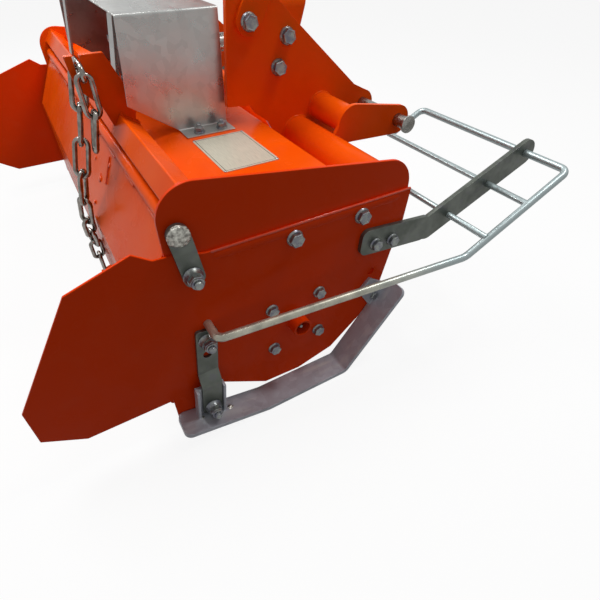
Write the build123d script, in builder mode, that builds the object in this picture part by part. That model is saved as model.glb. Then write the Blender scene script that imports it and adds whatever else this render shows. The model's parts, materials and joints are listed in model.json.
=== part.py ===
"""Rotavator: a light tiller carried on a tractor's three-point linkage, 1.05 m wide.

Frame of the part, in mm: +X is the direction of travel, +Y the machine's left, +Z up.
The origin lies on the ground between the skids, at mid width and mid length.
Side views are drawn on planes whose (0, 0) is the rotor's axis, so a pair (x, z) below
is a distance ahead of and above that axis. Distances along Y are from the mid plane.
"""

import math
import os

from build123d import *

os.makedirs("parts", exist_ok=True)

SIDES = (("right", -1), ("left", 1))

# ---------------------------------------------------------------- driving dimensions
OVERALL_WIDTH = 1076.0  # over the outer faces of the two side shields
AXLE_HEIGHT = 139.0  # rotor axis above the soles of the skids

SHIELD_T = 4.0  # side shield sheet
END_T = 6.0  # end plate
RUN_GAP = 5.5  # side gap of the pieces that turn or swing between the end plates
JOIN_GAP = 0.2  # radial gap round what passes through a plate and is welded or bolted there
FIT_GAP = 0.06  # radial clearance of a running fit

TILLER_REAR_X = -417.0  # rearmost corner of the side shields
ARM_TIP_X = 487.0  # middle of the round front end of the guard arms
ARM_WIDTH = 48.0
MID_X = (TILLER_REAR_X + ARM_TIP_X + ARM_WIDTH / 2) / 2  # mid length, measured from the rotor's axis

SHIELD_OUT = OVERALL_WIDTH / 2  # outer face of a shield
PLATE_OUT = SHIELD_OUT - SHIELD_T  # outer face of an end plate
PLATE_IN = PLATE_OUT - END_T  # inner face of an end plate

SPARE_HOLE_D = 14.0  # holes in the shields and the skid straps that nothing is bolted to
SHIELD_SPARE_HOLE = (156.0, 44.0)

# deck
DECK_Z = 250.0
DECK_T = 4.0
DECK_FRONT_X = 73.0
DECK_REAR_X = -78.0
DECK_REAR_EDGE = (-146.0, 233.0)  # x, z
DECK_NOSE = (104.0, 190.0)  # second front fold
DECK_LIP = (128.0, 96.0)  # front edge

# lateral tubes
FRONT_TUBE = (149.0, 214.0)  # x, z
FRONT_TUBE_D = 60.3
FRONT_TUBE_WALL = 4.0
REAR_TUBE_SIDE = 35.0
REAR_TUBE_WALL = 3.0
REAR_TUBE_CREST = (-150.0, 285.0)  # the upper edge of the turned square tube
REAR_TUBE_TILT = 35.0  # its upper face falls forward by this angle

# tail board
HINGE = (-167.0, 232.0)
HINGE_TUBE_D = 21.3
HINGE_PIN_D = 16.0
HINGE_PIN_REACH = 60.0  # how far a pin runs into the hinge tube
HINGE_LINK_FOOT = (-158.0, 164.0)  # bolt at the lower end of the link that holds a pin
HINGE_LINK_WIDTH = 30.0
HINGE_LINK_T = 8.0
BOARD_T = 4.0
BOARD_CREASE = (-235.0, 110.0)  # outer edge of the fold
BOARD_FOOT_Z = -92.0
BOARD_LIP = 16.0

# three-point linkage, category 1
PIN_SPACING = 683.0  # between the middles of the two lower-link pins
PIN_D = 22.0
PIN = (297.0, 243.0)
CLEVIS_GAP = 99.0  # between the two plates that hold a lower-link pin
HITCH_PLATE_T = 8.0
HITCH_TUBE = (199.0, 254.0)
HITCH_TUBE_D = 48.3
HITCH_TUBE_WALL = 4.0
PIN_STICKOUT = 30.0
PIN_HEAD_D = 30.0
PIN_HEAD_T = 4.0
MAST_PLATE_T = 10.0
MAST_HEIGHT = 460.0  # top-link pin above the lower-link pins
TOP_PIN_D = 19.5
TOP_PIN_X = 236.0
TOP_EAR_GAP = 52.0
UPRIGHT_T = 10.0
UPRIGHT_WIDTH = 60.0
BRACE_T = 8.0
BRACE_WIDTH = 40.0

# gearbox and side drive
DRIVE_Z = 316.0  # axis of the input and of the cross shaft
GEARBOX_LENGTH = 150.0
GEARBOX_WIDTH = 150.0
GEARBOX_HEIGHT = 128.0
GEARBOX_FOOT_T = 12.0
GEARBOX_COVER_D = 104.0
GEARBOX_COVER_T = 10.0
GEARBOX_NOSE_D = 92.0  # round nose that the input shaft comes out of
GEARBOX_NOSE = 24.0
PTO_D = 34.9
PTO_ROOT_D = 29.0
PTO_SPLINES = 6
PTO_TIP_X = 178.0
DRIVE_TUBE_D = 76.1
DRIVE_FLANGE_D = 132.0
DRIVE_FLANGE_T = 8.0
CASE_DEPTH = 42.0
CASE_TOP_R = 78.0
CASE_FOOT_R = 92.0
CASE_RIM = 8.0  # how far the bolted cover stands out round the case
CASE_COVER_T = 5.0

# rotor
ROTOR_TUBE_D = 60.3
ROTOR_FLANGE_D = 150.0
ROTOR_FLANGE_T = 8.0
ROTOR_FLANGES = 6
ROTOR_END_GAP = 16.0  # between the rotor's tube and a bearing housing
TINES_PER_FLANGE = 4
TINE_TIP_R = 133.0
TINE_T = 7.0
TINE_SHANK_WIDTH = 36.0
TINE_TRAIL = 44.0  # how far a tine's tip is swept back
TINE_LEG = 78.0  # sideways reach of a tine from its flange
TINE_OVERHANG = 10.0  # how far the outermost legs reach past the tube's ends
STUB_D = 35.0
BEARING_FLANGE = 112.0
BEARING_FLANGE_T = 9.0
BEARING_BODY_D = 80.0
BEARING_DEPTH = 19.0
BEARING_WEB = 3.0  # closed end of a bearing housing
GREASE_TUBE_D = 34.0
GREASE_TUBE_BORE = 26.0
GREASE_TUBE_STICKOUT = 24.0

# skids
SKID_WIDTH = 50.0
SKID_T = 8.0
SKID_GAP = 1.0  # between a skid's inner edge and the shield
SKID_HEEL = (-234.0, 29.0)  # x, and rise above the level stretch
SKID_LEVEL = (-84.0, 80.0)  # rear and front end of the level stretch
SKID_TOE = (200.0, 14.0)
SKID_CORNER_R = 12.0
STRAP_WIDTH = 34.0
STRAP_T = 6.0
STRAP_TOP_BOLT = (-159.0, 42.0)
STRAP_FOOT_BOLT = (-175.0, 40.0)  # x, and height above the middle of the sole
STRAP_TOP_MARGIN = 20.0  # from the bolt to the end of the strap
STRAP_FOOT_MARGIN = 13.0
STRAP_JOGGLE = 16.0  # sideways step of the strap
STRAP_SPARE_HOLE = 30.0  # below the top bolt
CHANNEL_TOP = 85.0  # above the middle of the sole
CHANNEL_INNER = 40.0  # between the legs of the channel that the strap stands in
CHANNEL_WALL = 4.5
CHANNEL_DEPTH = 16.0
STRAP_PLAY = 0.5  # between the strap and the channel's front leg

# front guards
LOOP_ROD_D = 13.0
CROSS_ROD_D = 11.0
ARM_T = 8.0
ARM_ROOT = (121.0, 118.0)  # middle of an arm's square rear end
ARM_ELBOW = (271.0, 103.0)
ARM_CORNER_R = 14.0
GUARD_RODS = ((ARM_TIP_X, 193.0), (403.0, 153.0), (317.0, 115.0))  # where three rods cross an arm
GUARD_OUT = 95.0  # outer rod's distance outside the shield at the front
GUARD_OUT_REAR = 39.0  # and at the rear
GUARD_IN = 266.0  # inner rod's distance inside the shield's outer face
CROSS_ROD_END = 8.0  # how far a cross rod reaches past the inner rod
GUARD_ELBOW = (276.0, 90.0)
GUARD_TAIL = (-152.0, 71.0)


# ---------------------------------------------------------------- planes and helpers
def side_plane(y):
    """Side view at a distance y from the mid plane: local x runs forward, local y runs up."""
    return Plane(origin=(-MID_X, y, AXLE_HEIGHT), x_dir=(1, 0, 0), z_dir=(0, -1, 0))


def rear_plane(x):
    """View along the direction of travel at x: local x runs to the left, local y runs up."""
    return Plane(origin=(x - MID_X, 0, AXLE_HEIGHT), x_dir=(0, 1, 0), z_dir=(1, 0, 0))


def level_plane(z):
    """Plan view at a height z above the rotor's axis: local x forward, local y left."""
    return Plane(origin=(-MID_X, 0, AXLE_HEIGHT + z), x_dir=(1, 0, 0), z_dir=(0, 0, 1))


def at(x, y, z):
    """A point given from the rotor's axis, in the frame of the part."""
    return Vector(x - MID_X, y, z + AXLE_HEIGHT)


def bar_outline(points, width):
    """Flat bar along a few points, with round ends and round elbows."""
    for (x1, z1), (x2, z2) in zip(points, points[1:]):
        with Locations(((x1 + x2) / 2, (z1 + z2) / 2)):
            SlotCenterToCenter(
                math.dist((x1, z1), (x2, z2)),
                width,
                rotation=math.degrees(math.atan2(z2 - z1, x2 - x1)),
            )


def bent_strip(points, thickness, radius):
    """Section of a folded sheet: a line through a few points, thickened to both sides."""
    with BuildLine() as middle:
        FilletPolyline(*points, radius=radius)
    trace(middle.line.edges(), line_width=thickness)


def hull_of_circles(first, first_r, second, second_r):
    """Outline of a plate that joins two round ends of different radius."""
    with BuildSketch() as ends:
        with Locations(first):
            Circle(first_r)
        with Locations(second):
            Circle(second_r)
    make_hull(ends.sketch_local.edges())


def flat_outline(first, second, width, corner, over_first=0.0, over_second=0.0):
    """Flat bar along one line, with corners of a given radius, reaching past either point."""
    run = Vector(*second) - Vector(*first)
    along = run.normalized()
    ends = Vector(*first) - along * over_first, Vector(*second) + along * over_second
    middle = (ends[0] + ends[1]) * 0.5
    with Locations((middle.X, middle.Y)):
        RectangleRounded(
            run.length + over_first + over_second,
            width,
            corner,
            rotation=math.degrees(math.atan2(run.Y, run.X)),
        )


def rear_tube_section(side, mode=Mode.ADD):
    """Turned square whose upper rear corner is the crest."""
    angle = math.radians(REAR_TUBE_TILT)
    reach = REAR_TUBE_SIDE / 2
    middle = (
        REAR_TUBE_CREST[0] + reach * (math.cos(angle) - math.sin(angle)),
        REAR_TUBE_CREST[1] - reach * (math.cos(angle) + math.sin(angle)),
    )
    with Locations(middle):
        Rectangle(side, side, rotation=-REAR_TUBE_TILT, mode=mode)


def save(piece, name):
    piece.label = name
    export_step(piece, f"parts/{name}.step")


# ---------------------------------------------------------------- end plates and shields
# Corners of an end plate, clockwise from the rear top.
END_PLATE = ((-188, 300), (215, 239.5), (216, 150), (150, -20), (62, -88), (-62, -88), (-188, 40))
END_TOP_RADIUS = 48.0
END_LOW_RADIUS = 34.0

# Corners of a side shield, from the rear end of its straight top edge.
SHIELD = (
    (-136, 191.5), (219, 191.5), (213, 133), (197, 76), (181, 9), (154, -47), (78, -111),
    (5, -130), (-66, -127), (-151, -72), (-165, -80), (-168, -131), (-231, -131), (-231, -68),
    (-364, -68), (TILLER_REAR_X, -32), (-415, 34), (-311, 193), (-226, 221), (-203, 204), (-176, 202),
)

for side, s in SIDES:
    with BuildPart() as end_plate:
        with BuildSketch(side_plane(s * (PLATE_OUT - END_T / 2))) as end_face:
            Polygon(*END_PLATE)
            top_corners = [c for c in end_face.vertices() if c.Y > 200]
            fillet(top_corners, END_TOP_RADIUS)
            low_corners = [c for c in end_face.vertices() if c.Y < -50]
            fillet(low_corners, END_LOW_RADIUS)
            if side == "left":
                hull_of_circles((0, DRIVE_Z), DRIVE_FLANGE_D / 2 + 4, (0, 200), 100)
            with Locations((0, 0)):
                Circle(GREASE_TUBE_D / 2 + JOIN_GAP, mode=Mode.SUBTRACT)
            with Locations(HINGE):
                Circle(HINGE_PIN_D / 2 + JOIN_GAP, mode=Mode.SUBTRACT)
        extrude(amount=END_T / 2, both=True)
    save(end_plate.part, f"end_plate_{side}")

    with BuildPart() as side_shield:
        with BuildSketch(side_plane(s * (SHIELD_OUT - SHIELD_T / 2))):
            Polygon(*SHIELD)
            with Locations((0, 0)):
                Circle(GREASE_TUBE_D / 2 + JOIN_GAP, mode=Mode.SUBTRACT)
            with Locations(SHIELD_SPARE_HOLE):
                Circle(SPARE_HOLE_D / 2, mode=Mode.SUBTRACT)
        extrude(amount=SHIELD_T / 2, both=True)
        if side == "left":
            with BuildSketch(side_plane(s * (SHIELD_OUT - SHIELD_T / 2))):
                hull_of_circles((0, DRIVE_Z), CASE_TOP_R + 2, (0, 0), CASE_FOOT_R + 2)
            extrude(amount=SHIELD_T, both=True, mode=Mode.SUBTRACT)
    save(side_shield.part, f"side_shield_{side}")

# ---------------------------------------------------------------- deck and lateral tubes
with BuildPart() as deck:
    with BuildSketch(side_plane(0)):
        bent_strip(
            (
                DECK_REAR_EDGE,
                (DECK_REAR_X, DECK_Z - DECK_T / 2),
                (DECK_FRONT_X, DECK_Z - DECK_T / 2),
                DECK_NOSE,
                DECK_LIP,
            ),
            DECK_T,
            6,
        )
        rear_tube_section(REAR_TUBE_SIDE, Mode.SUBTRACT)
    extrude(amount=PLATE_IN, both=True)
save(deck.part, "deck")

with BuildPart() as front_tube:
    with BuildSketch(side_plane(0)):
        with Locations(FRONT_TUBE):
            Circle(FRONT_TUBE_D / 2)
            Circle(FRONT_TUBE_D / 2 - FRONT_TUBE_WALL, mode=Mode.SUBTRACT)
    extrude(amount=PLATE_IN, both=True)
save(front_tube.part, "front_tube")

with BuildPart() as rear_tube:
    with BuildSketch(side_plane(0)) as rear_section:
        rear_tube_section(REAR_TUBE_SIDE)
        rear_tube_section(REAR_TUBE_SIDE - 2 * REAR_TUBE_WALL, Mode.SUBTRACT)
    extrude(amount=PLATE_IN, both=True)
save(rear_tube.part, "rear_tube")

# ---------------------------------------------------------------- tail board
BOARD_HALF = PLATE_IN - RUN_GAP
BOARD_X = BOARD_CREASE[0] + BOARD_T / 2  # mid line of the lower leaf

with BuildPart() as tail_board:
    with BuildSketch(side_plane(0)):
        bent_strip(
            (
                HINGE,
                (BOARD_X, BOARD_CREASE[1]),
                (BOARD_X, BOARD_FOOT_Z),
                (BOARD_X + BOARD_LIP, BOARD_FOOT_Z),
            ),
            BOARD_T,
            5,
        )
        with Locations(HINGE):
            Circle(HINGE_TUBE_D / 2 + JOIN_GAP, mode=Mode.SUBTRACT)
    extrude(amount=BOARD_HALF, both=True)
save(tail_board.part, "tail_board")

with BuildPart() as hinge_tube:
    with BuildSketch(side_plane(0)):
        with Locations(HINGE):
            Circle(HINGE_TUBE_D / 2)
            Circle(HINGE_PIN_D / 2 + FIT_GAP, mode=Mode.SUBTRACT)
    extrude(amount=BOARD_HALF, both=True)
save(hinge_tube.part, "tail_hinge_tube")

for side, s in SIDES:
    with BuildPart() as hinge_pin:
        with BuildSketch(side_plane(s * (SHIELD_OUT + HINGE_LINK_T / 2))):
            bar_outline((HINGE, HINGE_LINK_FOOT), HINGE_LINK_WIDTH)
        extrude(amount=HINGE_LINK_T / 2, both=True)
        with BuildSketch(side_plane(s * SHIELD_OUT)):
            with Locations(HINGE):
                Circle(HINGE_PIN_D / 2)
        extrude(amount=s * (SHIELD_OUT - BOARD_HALF + HINGE_PIN_REACH))
    save(hinge_pin.part, f"hinge_pin_{side}")

# ---------------------------------------------------------------- lower hitch
PIN_Y = PIN_SPACING / 2
HITCH_PLATE_Y = PIN_Y + CLEVIS_GAP / 2 + HITCH_PLATE_T / 2
MAST_PLATE_Y = PIN_Y - CLEVIS_GAP / 2 - MAST_PLATE_T / 2
MAST_PLATE_IN = MAST_PLATE_Y - MAST_PLATE_T / 2

HITCH_REAR_R = 31.0
HITCH_FRONT_R = 25.0
# Corners of a mast plate, from its lower rear corner forward and round the top.
MAST_PLATE = (
    (14, 281), (58, 277), (66, 262), (88, 246), (124, 176), (192, 168), (286, 220),
    (314, 262), (275, 281), (150, 392), (100, 440), (30, 440),
)

for side, s in SIDES:
    with BuildPart() as hitch_plate:
        with BuildSketch(side_plane(s * HITCH_PLATE_Y)):
            hull_of_circles(HITCH_TUBE, HITCH_REAR_R, PIN, HITCH_FRONT_R)
            lower_z = HITCH_TUBE[1] - HITCH_REAR_R
            Polygon(
                (HITCH_TUBE[0] - HITCH_REAR_R, HITCH_TUBE[1]),
                (FRONT_TUBE[0], lower_z),
                (HITCH_TUBE[0], lower_z),
            )
            with Locations(PIN):
                Circle(PIN_D / 2 + JOIN_GAP, mode=Mode.SUBTRACT)
            with Locations(FRONT_TUBE):
                Circle(FRONT_TUBE_D / 2 + JOIN_GAP, mode=Mode.SUBTRACT)
        extrude(amount=HITCH_PLATE_T / 2, both=True)
    save(hitch_plate.part, f"hitch_plate_{side}")

    with BuildPart() as mast_plate:
        with BuildSketch(side_plane(s * MAST_PLATE_Y)):
            Polygon(*MAST_PLATE)
            with Locations(PIN):
                Circle(HITCH_FRONT_R)
                Circle(PIN_D / 2 + JOIN_GAP, mode=Mode.SUBTRACT)
            with Locations(FRONT_TUBE):
                Circle(FRONT_TUBE_D / 2 + JOIN_GAP, mode=Mode.SUBTRACT)
            if side == "left":
                with Locations((0, DRIVE_Z)):
                    Circle(DRIVE_TUBE_D / 2 + JOIN_GAP, mode=Mode.SUBTRACT)
        extrude(amount=MAST_PLATE_T / 2, both=True)
    save(mast_plate.part, f"mast_plate_{side}")

    with BuildPart() as hitch_tube:
        with BuildSketch(side_plane(s * PIN_Y)):
            with Locations(HITCH_TUBE):
                Circle(HITCH_TUBE_D / 2)
                Circle(HITCH_TUBE_D / 2 - HITCH_TUBE_WALL, mode=Mode.SUBTRACT)
        extrude(amount=CLEVIS_GAP / 2, both=True)
    save(hitch_tube.part, f"hitch_tube_{side}")

    with BuildPart() as hitch_pin:
        pin_end = HITCH_PLATE_Y + HITCH_PLATE_T / 2 + PIN_STICKOUT
        with BuildSketch(side_plane(s * pin_end)):
            with Locations(PIN):
                Circle(PIN_D / 2)
        extrude(amount=s * (pin_end - MAST_PLATE_IN))
        with BuildSketch(side_plane(s * pin_end)):
            with Locations(PIN):
                Circle(PIN_HEAD_D / 2)
        extrude(amount=s * PIN_HEAD_T)
    save(hitch_pin.part, f"hitch_pin_{side}")

# ---------------------------------------------------------------- mast
TOP_PIN = (TOP_PIN_X, PIN[1] + MAST_HEIGHT)
EAR_Y = TOP_EAR_GAP / 2 + UPRIGHT_T / 2
UPRIGHT_FOOT_Y = MAST_PLATE_IN - UPRIGHT_T / 2
UPRIGHT_FOOT = (112.0, 330.0)
UPRIGHT_BENDS = (420.0, 590.0)  # heights of the lower and the upper fold
BRACE_TOP = (222.0, 660.0)
BRACE_FOOT = (60.0, 400.0)
BRACE_BENDS = (470.0, 640.0)
MAST_BEND_R = 20.0
BRACE_FOOT_Y = MAST_PLATE_Y + MAST_PLATE_T / 2 + BRACE_T / 2

for side, s in SIDES:
    with BuildPart() as mast_upright:
        with BuildSketch(rear_plane(0)):
            bent_strip(
                (
                    (s * UPRIGHT_FOOT_Y, UPRIGHT_FOOT[1] - UPRIGHT_WIDTH),
                    (s * UPRIGHT_FOOT_Y, UPRIGHT_BENDS[0]),
                    (s * EAR_Y, UPRIGHT_BENDS[1]),
                    (s * EAR_Y, TOP_PIN[1] + UPRIGHT_WIDTH),
                ),
                UPRIGHT_T,
                MAST_BEND_R,
            )
        extrude(amount=2 * TOP_PIN_X, both=True)
        with BuildSketch(side_plane(0)):
            bar_outline((UPRIGHT_FOOT, TOP_PIN), UPRIGHT_WIDTH)
            with Locations(TOP_PIN):
                Circle(TOP_PIN_D / 2, mode=Mode.SUBTRACT)
        extrude(amount=OVERALL_WIDTH / 2, both=True, mode=Mode.INTERSECT)
    save(mast_upright.part, f"mast_upright_{side}")

    brace_top_y = EAR_Y + UPRIGHT_T / 2 + BRACE_T / 2
    with BuildPart() as mast_brace:
        with BuildSketch(rear_plane(0)):
            bent_strip(
                (
                    (s * BRACE_FOOT_Y, BRACE_FOOT[1] - BRACE_WIDTH),
                    (s * BRACE_FOOT_Y, BRACE_BENDS[0]),
                    (s * brace_top_y, BRACE_BENDS[1]),
                    (s * brace_top_y, BRACE_TOP[1] + BRACE_WIDTH),
                ),
                BRACE_T,
                MAST_BEND_R,
            )
        extrude(amount=2 * TOP_PIN_X, both=True)
        with BuildSketch(side_plane(0)):
            bar_outline((BRACE_FOOT, BRACE_TOP), BRACE_WIDTH)
        extrude(amount=OVERALL_WIDTH / 2, both=True, mode=Mode.INTERSECT)
    save(mast_brace.part, f"mast_brace_{side}")

SPACER = (214.0, 640.0)
SPACER_D = 30.0
with BuildPart() as mast_spacer:
    with BuildSketch(side_plane(0)):
        with Locations(SPACER):
            Circle(SPACER_D / 2)
    extrude(amount=TOP_EAR_GAP / 2, both=True)
save(mast_spacer.part, "mast_spacer")

# ---------------------------------------------------------------- gearbox and side drive
with BuildPart() as gearbox:
    with BuildSketch(level_plane(DECK_Z)):
        RectangleRounded(GEARBOX_LENGTH, GEARBOX_WIDTH, 14)
    extrude(amount=GEARBOX_HEIGHT)
    with BuildSketch(level_plane(DECK_Z)):
        RectangleRounded(GEARBOX_LENGTH - 10, GEARBOX_WIDTH + 44, 10)
    extrude(amount=GEARBOX_FOOT_T)
    with BuildSketch(side_plane(-GEARBOX_WIDTH / 2)):
        with Locations((0, DRIVE_Z)):
            Circle(GEARBOX_COVER_D / 2)
    extrude(amount=GEARBOX_COVER_T)
    with BuildSketch(rear_plane(-GEARBOX_LENGTH / 2)):
        with Locations((0, DRIVE_Z)):
            Circle(GEARBOX_COVER_D / 2)
    extrude(amount=-GEARBOX_COVER_T)
    with BuildSketch(rear_plane(GEARBOX_LENGTH / 2)):
        with Locations((0, DRIVE_Z)):
            Circle(GEARBOX_NOSE_D / 2)
    extrude(amount=GEARBOX_NOSE)
    with BuildSketch(rear_plane(GEARBOX_LENGTH / 2 + GEARBOX_NOSE)):
        with Locations((0, DRIVE_Z)):
            Circle(PTO_D / 2 + FIT_GAP)
    extrude(amount=-80, mode=Mode.SUBTRACT)
save(gearbox.part, "gearbox")

with BuildPart() as drive_tube:
    with BuildSketch(side_plane(GEARBOX_WIDTH / 2)):
        with Locations((0, DRIVE_Z)):
            Circle(DRIVE_TUBE_D / 2)
    extrude(amount=-(PLATE_IN - GEARBOX_WIDTH / 2))
    inner_end = (GEARBOX_WIDTH / 2 + DRIVE_FLANGE_T, GEARBOX_COVER_D)
    outer_end = (PLATE_IN, DRIVE_FLANGE_D)
    for face_y, flange_d in (inner_end, outer_end):
        with BuildSketch(side_plane(face_y)):
            with Locations((0, DRIVE_Z)):
                Circle(flange_d / 2)
        extrude(amount=DRIVE_FLANGE_T)
save(drive_tube.part, "drive_tube")

with BuildPart() as chain_case:
    with BuildSketch(side_plane(PLATE_OUT)):
        hull_of_circles((0, DRIVE_Z), CASE_TOP_R, (0, 0), CASE_FOOT_R)
    extrude(amount=-CASE_DEPTH)
    with BuildSketch(side_plane(PLATE_OUT + CASE_DEPTH)):
        hull_of_circles((0, DRIVE_Z), CASE_TOP_R + CASE_RIM, (0, 0), CASE_FOOT_R + CASE_RIM)
    extrude(amount=CASE_COVER_T)
save(chain_case.part, "chain_case")

with BuildPart() as pto_shaft:
    with BuildSketch(rear_plane(PTO_TIP_X)):
        with Locations((0, DRIVE_Z)):
            Circle(PTO_D / 2)
    extrude(amount=-(PTO_TIP_X - GEARBOX_LENGTH / 2 + 30))
    with BuildSketch(rear_plane(PTO_TIP_X)):
        with Locations((0, DRIVE_Z)):
            with PolarLocations(PTO_D / 2, PTO_SPLINES):
                Rectangle(PTO_D - PTO_ROOT_D, 8.7)
    extrude(amount=-76, mode=Mode.SUBTRACT)
    chamfer(pto_shaft.faces().sort_by(Axis.X)[-1].edges(), 1.5)
save(pto_shaft.part, "pto_shaft")

# ---------------------------------------------------------------- guard over the gearbox
GUARD_T = 2.0
GUARD_TOP_Z = 420.0
GUARD_FOOT = 38.0  # width of the flange on the deck
GUARD_Y = MAST_PLATE_IN - 12.0
GUARD_SIDE = ((-64, DECK_Z), (18, DECK_Z), (24, GUARD_TOP_Z), (-128, GUARD_TOP_Z), (-140, 302))
with BuildPart() as gearbox_guard:
    with BuildSketch(rear_plane(0)):
        bent_strip(
            (
                (-GUARD_Y - GUARD_FOOT, DECK_Z + GUARD_T / 2),
                (-GUARD_Y, DECK_Z + GUARD_T / 2),
                (-GUARD_Y, GUARD_TOP_Z - GUARD_T / 2),
                (GUARD_Y, GUARD_TOP_Z - GUARD_T / 2),
                (GUARD_Y, DECK_Z + GUARD_T / 2),
                (GUARD_Y + GUARD_FOOT, DECK_Z + GUARD_T / 2),
            ),
            GUARD_T,
            3,
        )
    extrude(amount=OVERALL_WIDTH / 2, both=True)
    with BuildSketch(side_plane(0)):
        Polygon(*GUARD_SIDE)
    extrude(amount=OVERALL_WIDTH / 2, both=True, mode=Mode.INTERSECT)
    with BuildSketch(side_plane(GUARD_Y)):
        with Locations((0, DRIVE_Z)):
            Circle(DRIVE_TUBE_D / 2 + 4)
    extrude(amount=20, both=True, mode=Mode.SUBTRACT)
save(gearbox_guard.part, "gearbox_guard")

# Two flat stays stand on the rear tube and carry the guard's rear edge.
STAY_T = 5.0
STAY_WIDTH = 30.0
STAY_Y = 218.0
STAY_TOP_X = -121.0
STAY_FOLD = 26.0  # length of the fold under the guard's top
stays = []
for side, s in SIDES:
    with BuildPart() as stay:
        with BuildSketch(side_plane(s * STAY_Y)):
            fold_z = GUARD_TOP_Z - GUARD_T - STAY_T / 2
            bent_strip(
                (
                    (REAR_TUBE_CREST[0] + 2, REAR_TUBE_CREST[1] - 15),
                    (STAY_TOP_X, fold_z),
                    (STAY_TOP_X + STAY_FOLD, fold_z),
                ),
                STAY_T,
                6,
            )
            rear_tube_section(REAR_TUBE_SIDE, Mode.SUBTRACT)
        extrude(amount=STAY_WIDTH / 2, both=True)
    stays.append(stay.part)
save(Compound(children=stays), "guard_stays")

# ---------------------------------------------------------------- rotor and its bearings
ROTOR_HALF = PLATE_IN - BEARING_DEPTH - ROTOR_END_GAP  # half the length of the rotor's tube
FLANGE_PITCH = 2 * (ROTOR_HALF + TINE_OVERHANG - TINE_LEG) / (ROTOR_FLANGES - 1)
FLANGE_ROW = [(i - (ROTOR_FLANGES - 1) / 2) * FLANGE_PITCH for i in range(ROTOR_FLANGES)]

with BuildPart() as rotor_shaft:
    with BuildSketch(side_plane(0)):
        Circle(ROTOR_TUBE_D / 2)
    extrude(amount=ROTOR_HALF, both=True)
    with BuildSketch(side_plane(0)):
        Circle(STUB_D / 2)
    extrude(amount=PLATE_IN - BEARING_WEB - 1, both=True)
    for flange_y in FLANGE_ROW:
        with BuildSketch(side_plane(flange_y)):
            Circle(ROTOR_FLANGE_D / 2)
        extrude(amount=ROTOR_FLANGE_T / 2, both=True)
save(rotor_shaft.part, "rotor_shaft")

LEG_R = math.sqrt(TINE_TIP_R**2 - TINE_TRAIL**2) - TINE_T / 2  # radius of a leg's middle
TINE_ROOT_R = 38.0


def tine(angle, face_y, reach):
    """Bent hoe blade: a shank on the flange's face at face_y, and a leg that reaches sideways.

    Seen from the side it is a sickle, swept back from the way the rotor turns.
    """
    out = Vector(math.cos(angle), 0, math.sin(angle))
    sideways = Vector(0, 1 if reach > 0 else -1, 0)
    with BuildPart() as blade:
        with BuildSketch(Plane(origin=at(0, face_y, 0), x_dir=sideways, z_dir=sideways.cross(out))):
            bent_strip(
                ((TINE_T / 2, TINE_ROOT_R), (TINE_T / 2, LEG_R), (abs(reach), LEG_R)),
                TINE_T,
                22,
            )
        extrude(amount=TINE_TIP_R, both=True)
        with BuildSketch(Plane(origin=at(0, face_y, 0), x_dir=out, z_dir=(0, -1, 0))):
            half = TINE_SHANK_WIDTH / 2
            with BuildLine():
                ThreePointArc((TINE_ROOT_R, -half), (88, -half), (TINE_TIP_R, TINE_TRAIL - 2 * half))
                Line((TINE_TIP_R, TINE_TRAIL - 2 * half), (TINE_TIP_R, TINE_TRAIL))
                ThreePointArc((TINE_TIP_R, TINE_TRAIL), (88, half), (TINE_ROOT_R, half))
                Line((TINE_ROOT_R, half), (TINE_ROOT_R, -half))
            make_face()
        extrude(amount=2 * abs(reach), both=True, mode=Mode.INTERSECT)
    return blade.part


blades = []
for i, flange_y in enumerate(FLANGE_ROW):
    for k in range(TINES_PER_FLANGE):
        s = 1 if k % 2 else -1
        angle = math.radians(k * 360 / TINES_PER_FLANGE + i * 15)
        blades.append(tine(angle, flange_y + s * ROTOR_FLANGE_T / 2, s * TINE_LEG))
save(Compound(children=blades), "tines")

for side, s in SIDES:
    with BuildPart() as bearing:
        with BuildSketch(side_plane(s * PLATE_IN)):
            RectangleRounded(BEARING_FLANGE, BEARING_FLANGE, 12)
        extrude(amount=s * BEARING_FLANGE_T)
        with BuildSketch(side_plane(s * PLATE_IN)):
            Circle(BEARING_BODY_D / 2)
        extrude(amount=s * BEARING_DEPTH)
        if side == "right":
            with BuildSketch(side_plane(s * (SHIELD_OUT + GREASE_TUBE_STICKOUT))):
                Circle(GREASE_TUBE_D / 2)
            extrude(amount=s * (GREASE_TUBE_STICKOUT + SHIELD_T + END_T))
            with BuildSketch(side_plane(s * (SHIELD_OUT + GREASE_TUBE_STICKOUT))):
                Circle(GREASE_TUBE_BORE / 2)
            extrude(amount=s * (GREASE_TUBE_STICKOUT + 2), mode=Mode.SUBTRACT)
        with BuildSketch(side_plane(s * (PLATE_IN - BEARING_WEB))):
            Circle(STUB_D / 2 + FIT_GAP)
        extrude(amount=s * 2 * BEARING_DEPTH, mode=Mode.SUBTRACT)
    save(bearing.part, f"rotor_bearing_{side}")

# ---------------------------------------------------------------- skids
SOLE_Z = -AXLE_HEIGHT + SKID_T / 2  # middle of the level stretch
HEEL = (SKID_HEEL[0], SOLE_Z + SKID_HEEL[1])
REAR_BEND = (SKID_LEVEL[0], SOLE_Z)
FRONT_BEND = (SKID_LEVEL[1], SOLE_Z)
FOOT_BOLT = (STRAP_FOOT_BOLT[0], SOLE_Z + STRAP_FOOT_BOLT[1])
CHANNEL_TOP_Z = SOLE_Z + CHANNEL_TOP


def on_rise(share):
    """A point on the middle line of a skid's front rise, by its share of the way to the toe."""
    return (
        FRONT_BEND[0] + share * (SKID_TOE[0] - FRONT_BEND[0]),
        FRONT_BEND[1] + share * (SKID_TOE[1] - FRONT_BEND[1]),
    )


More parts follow.
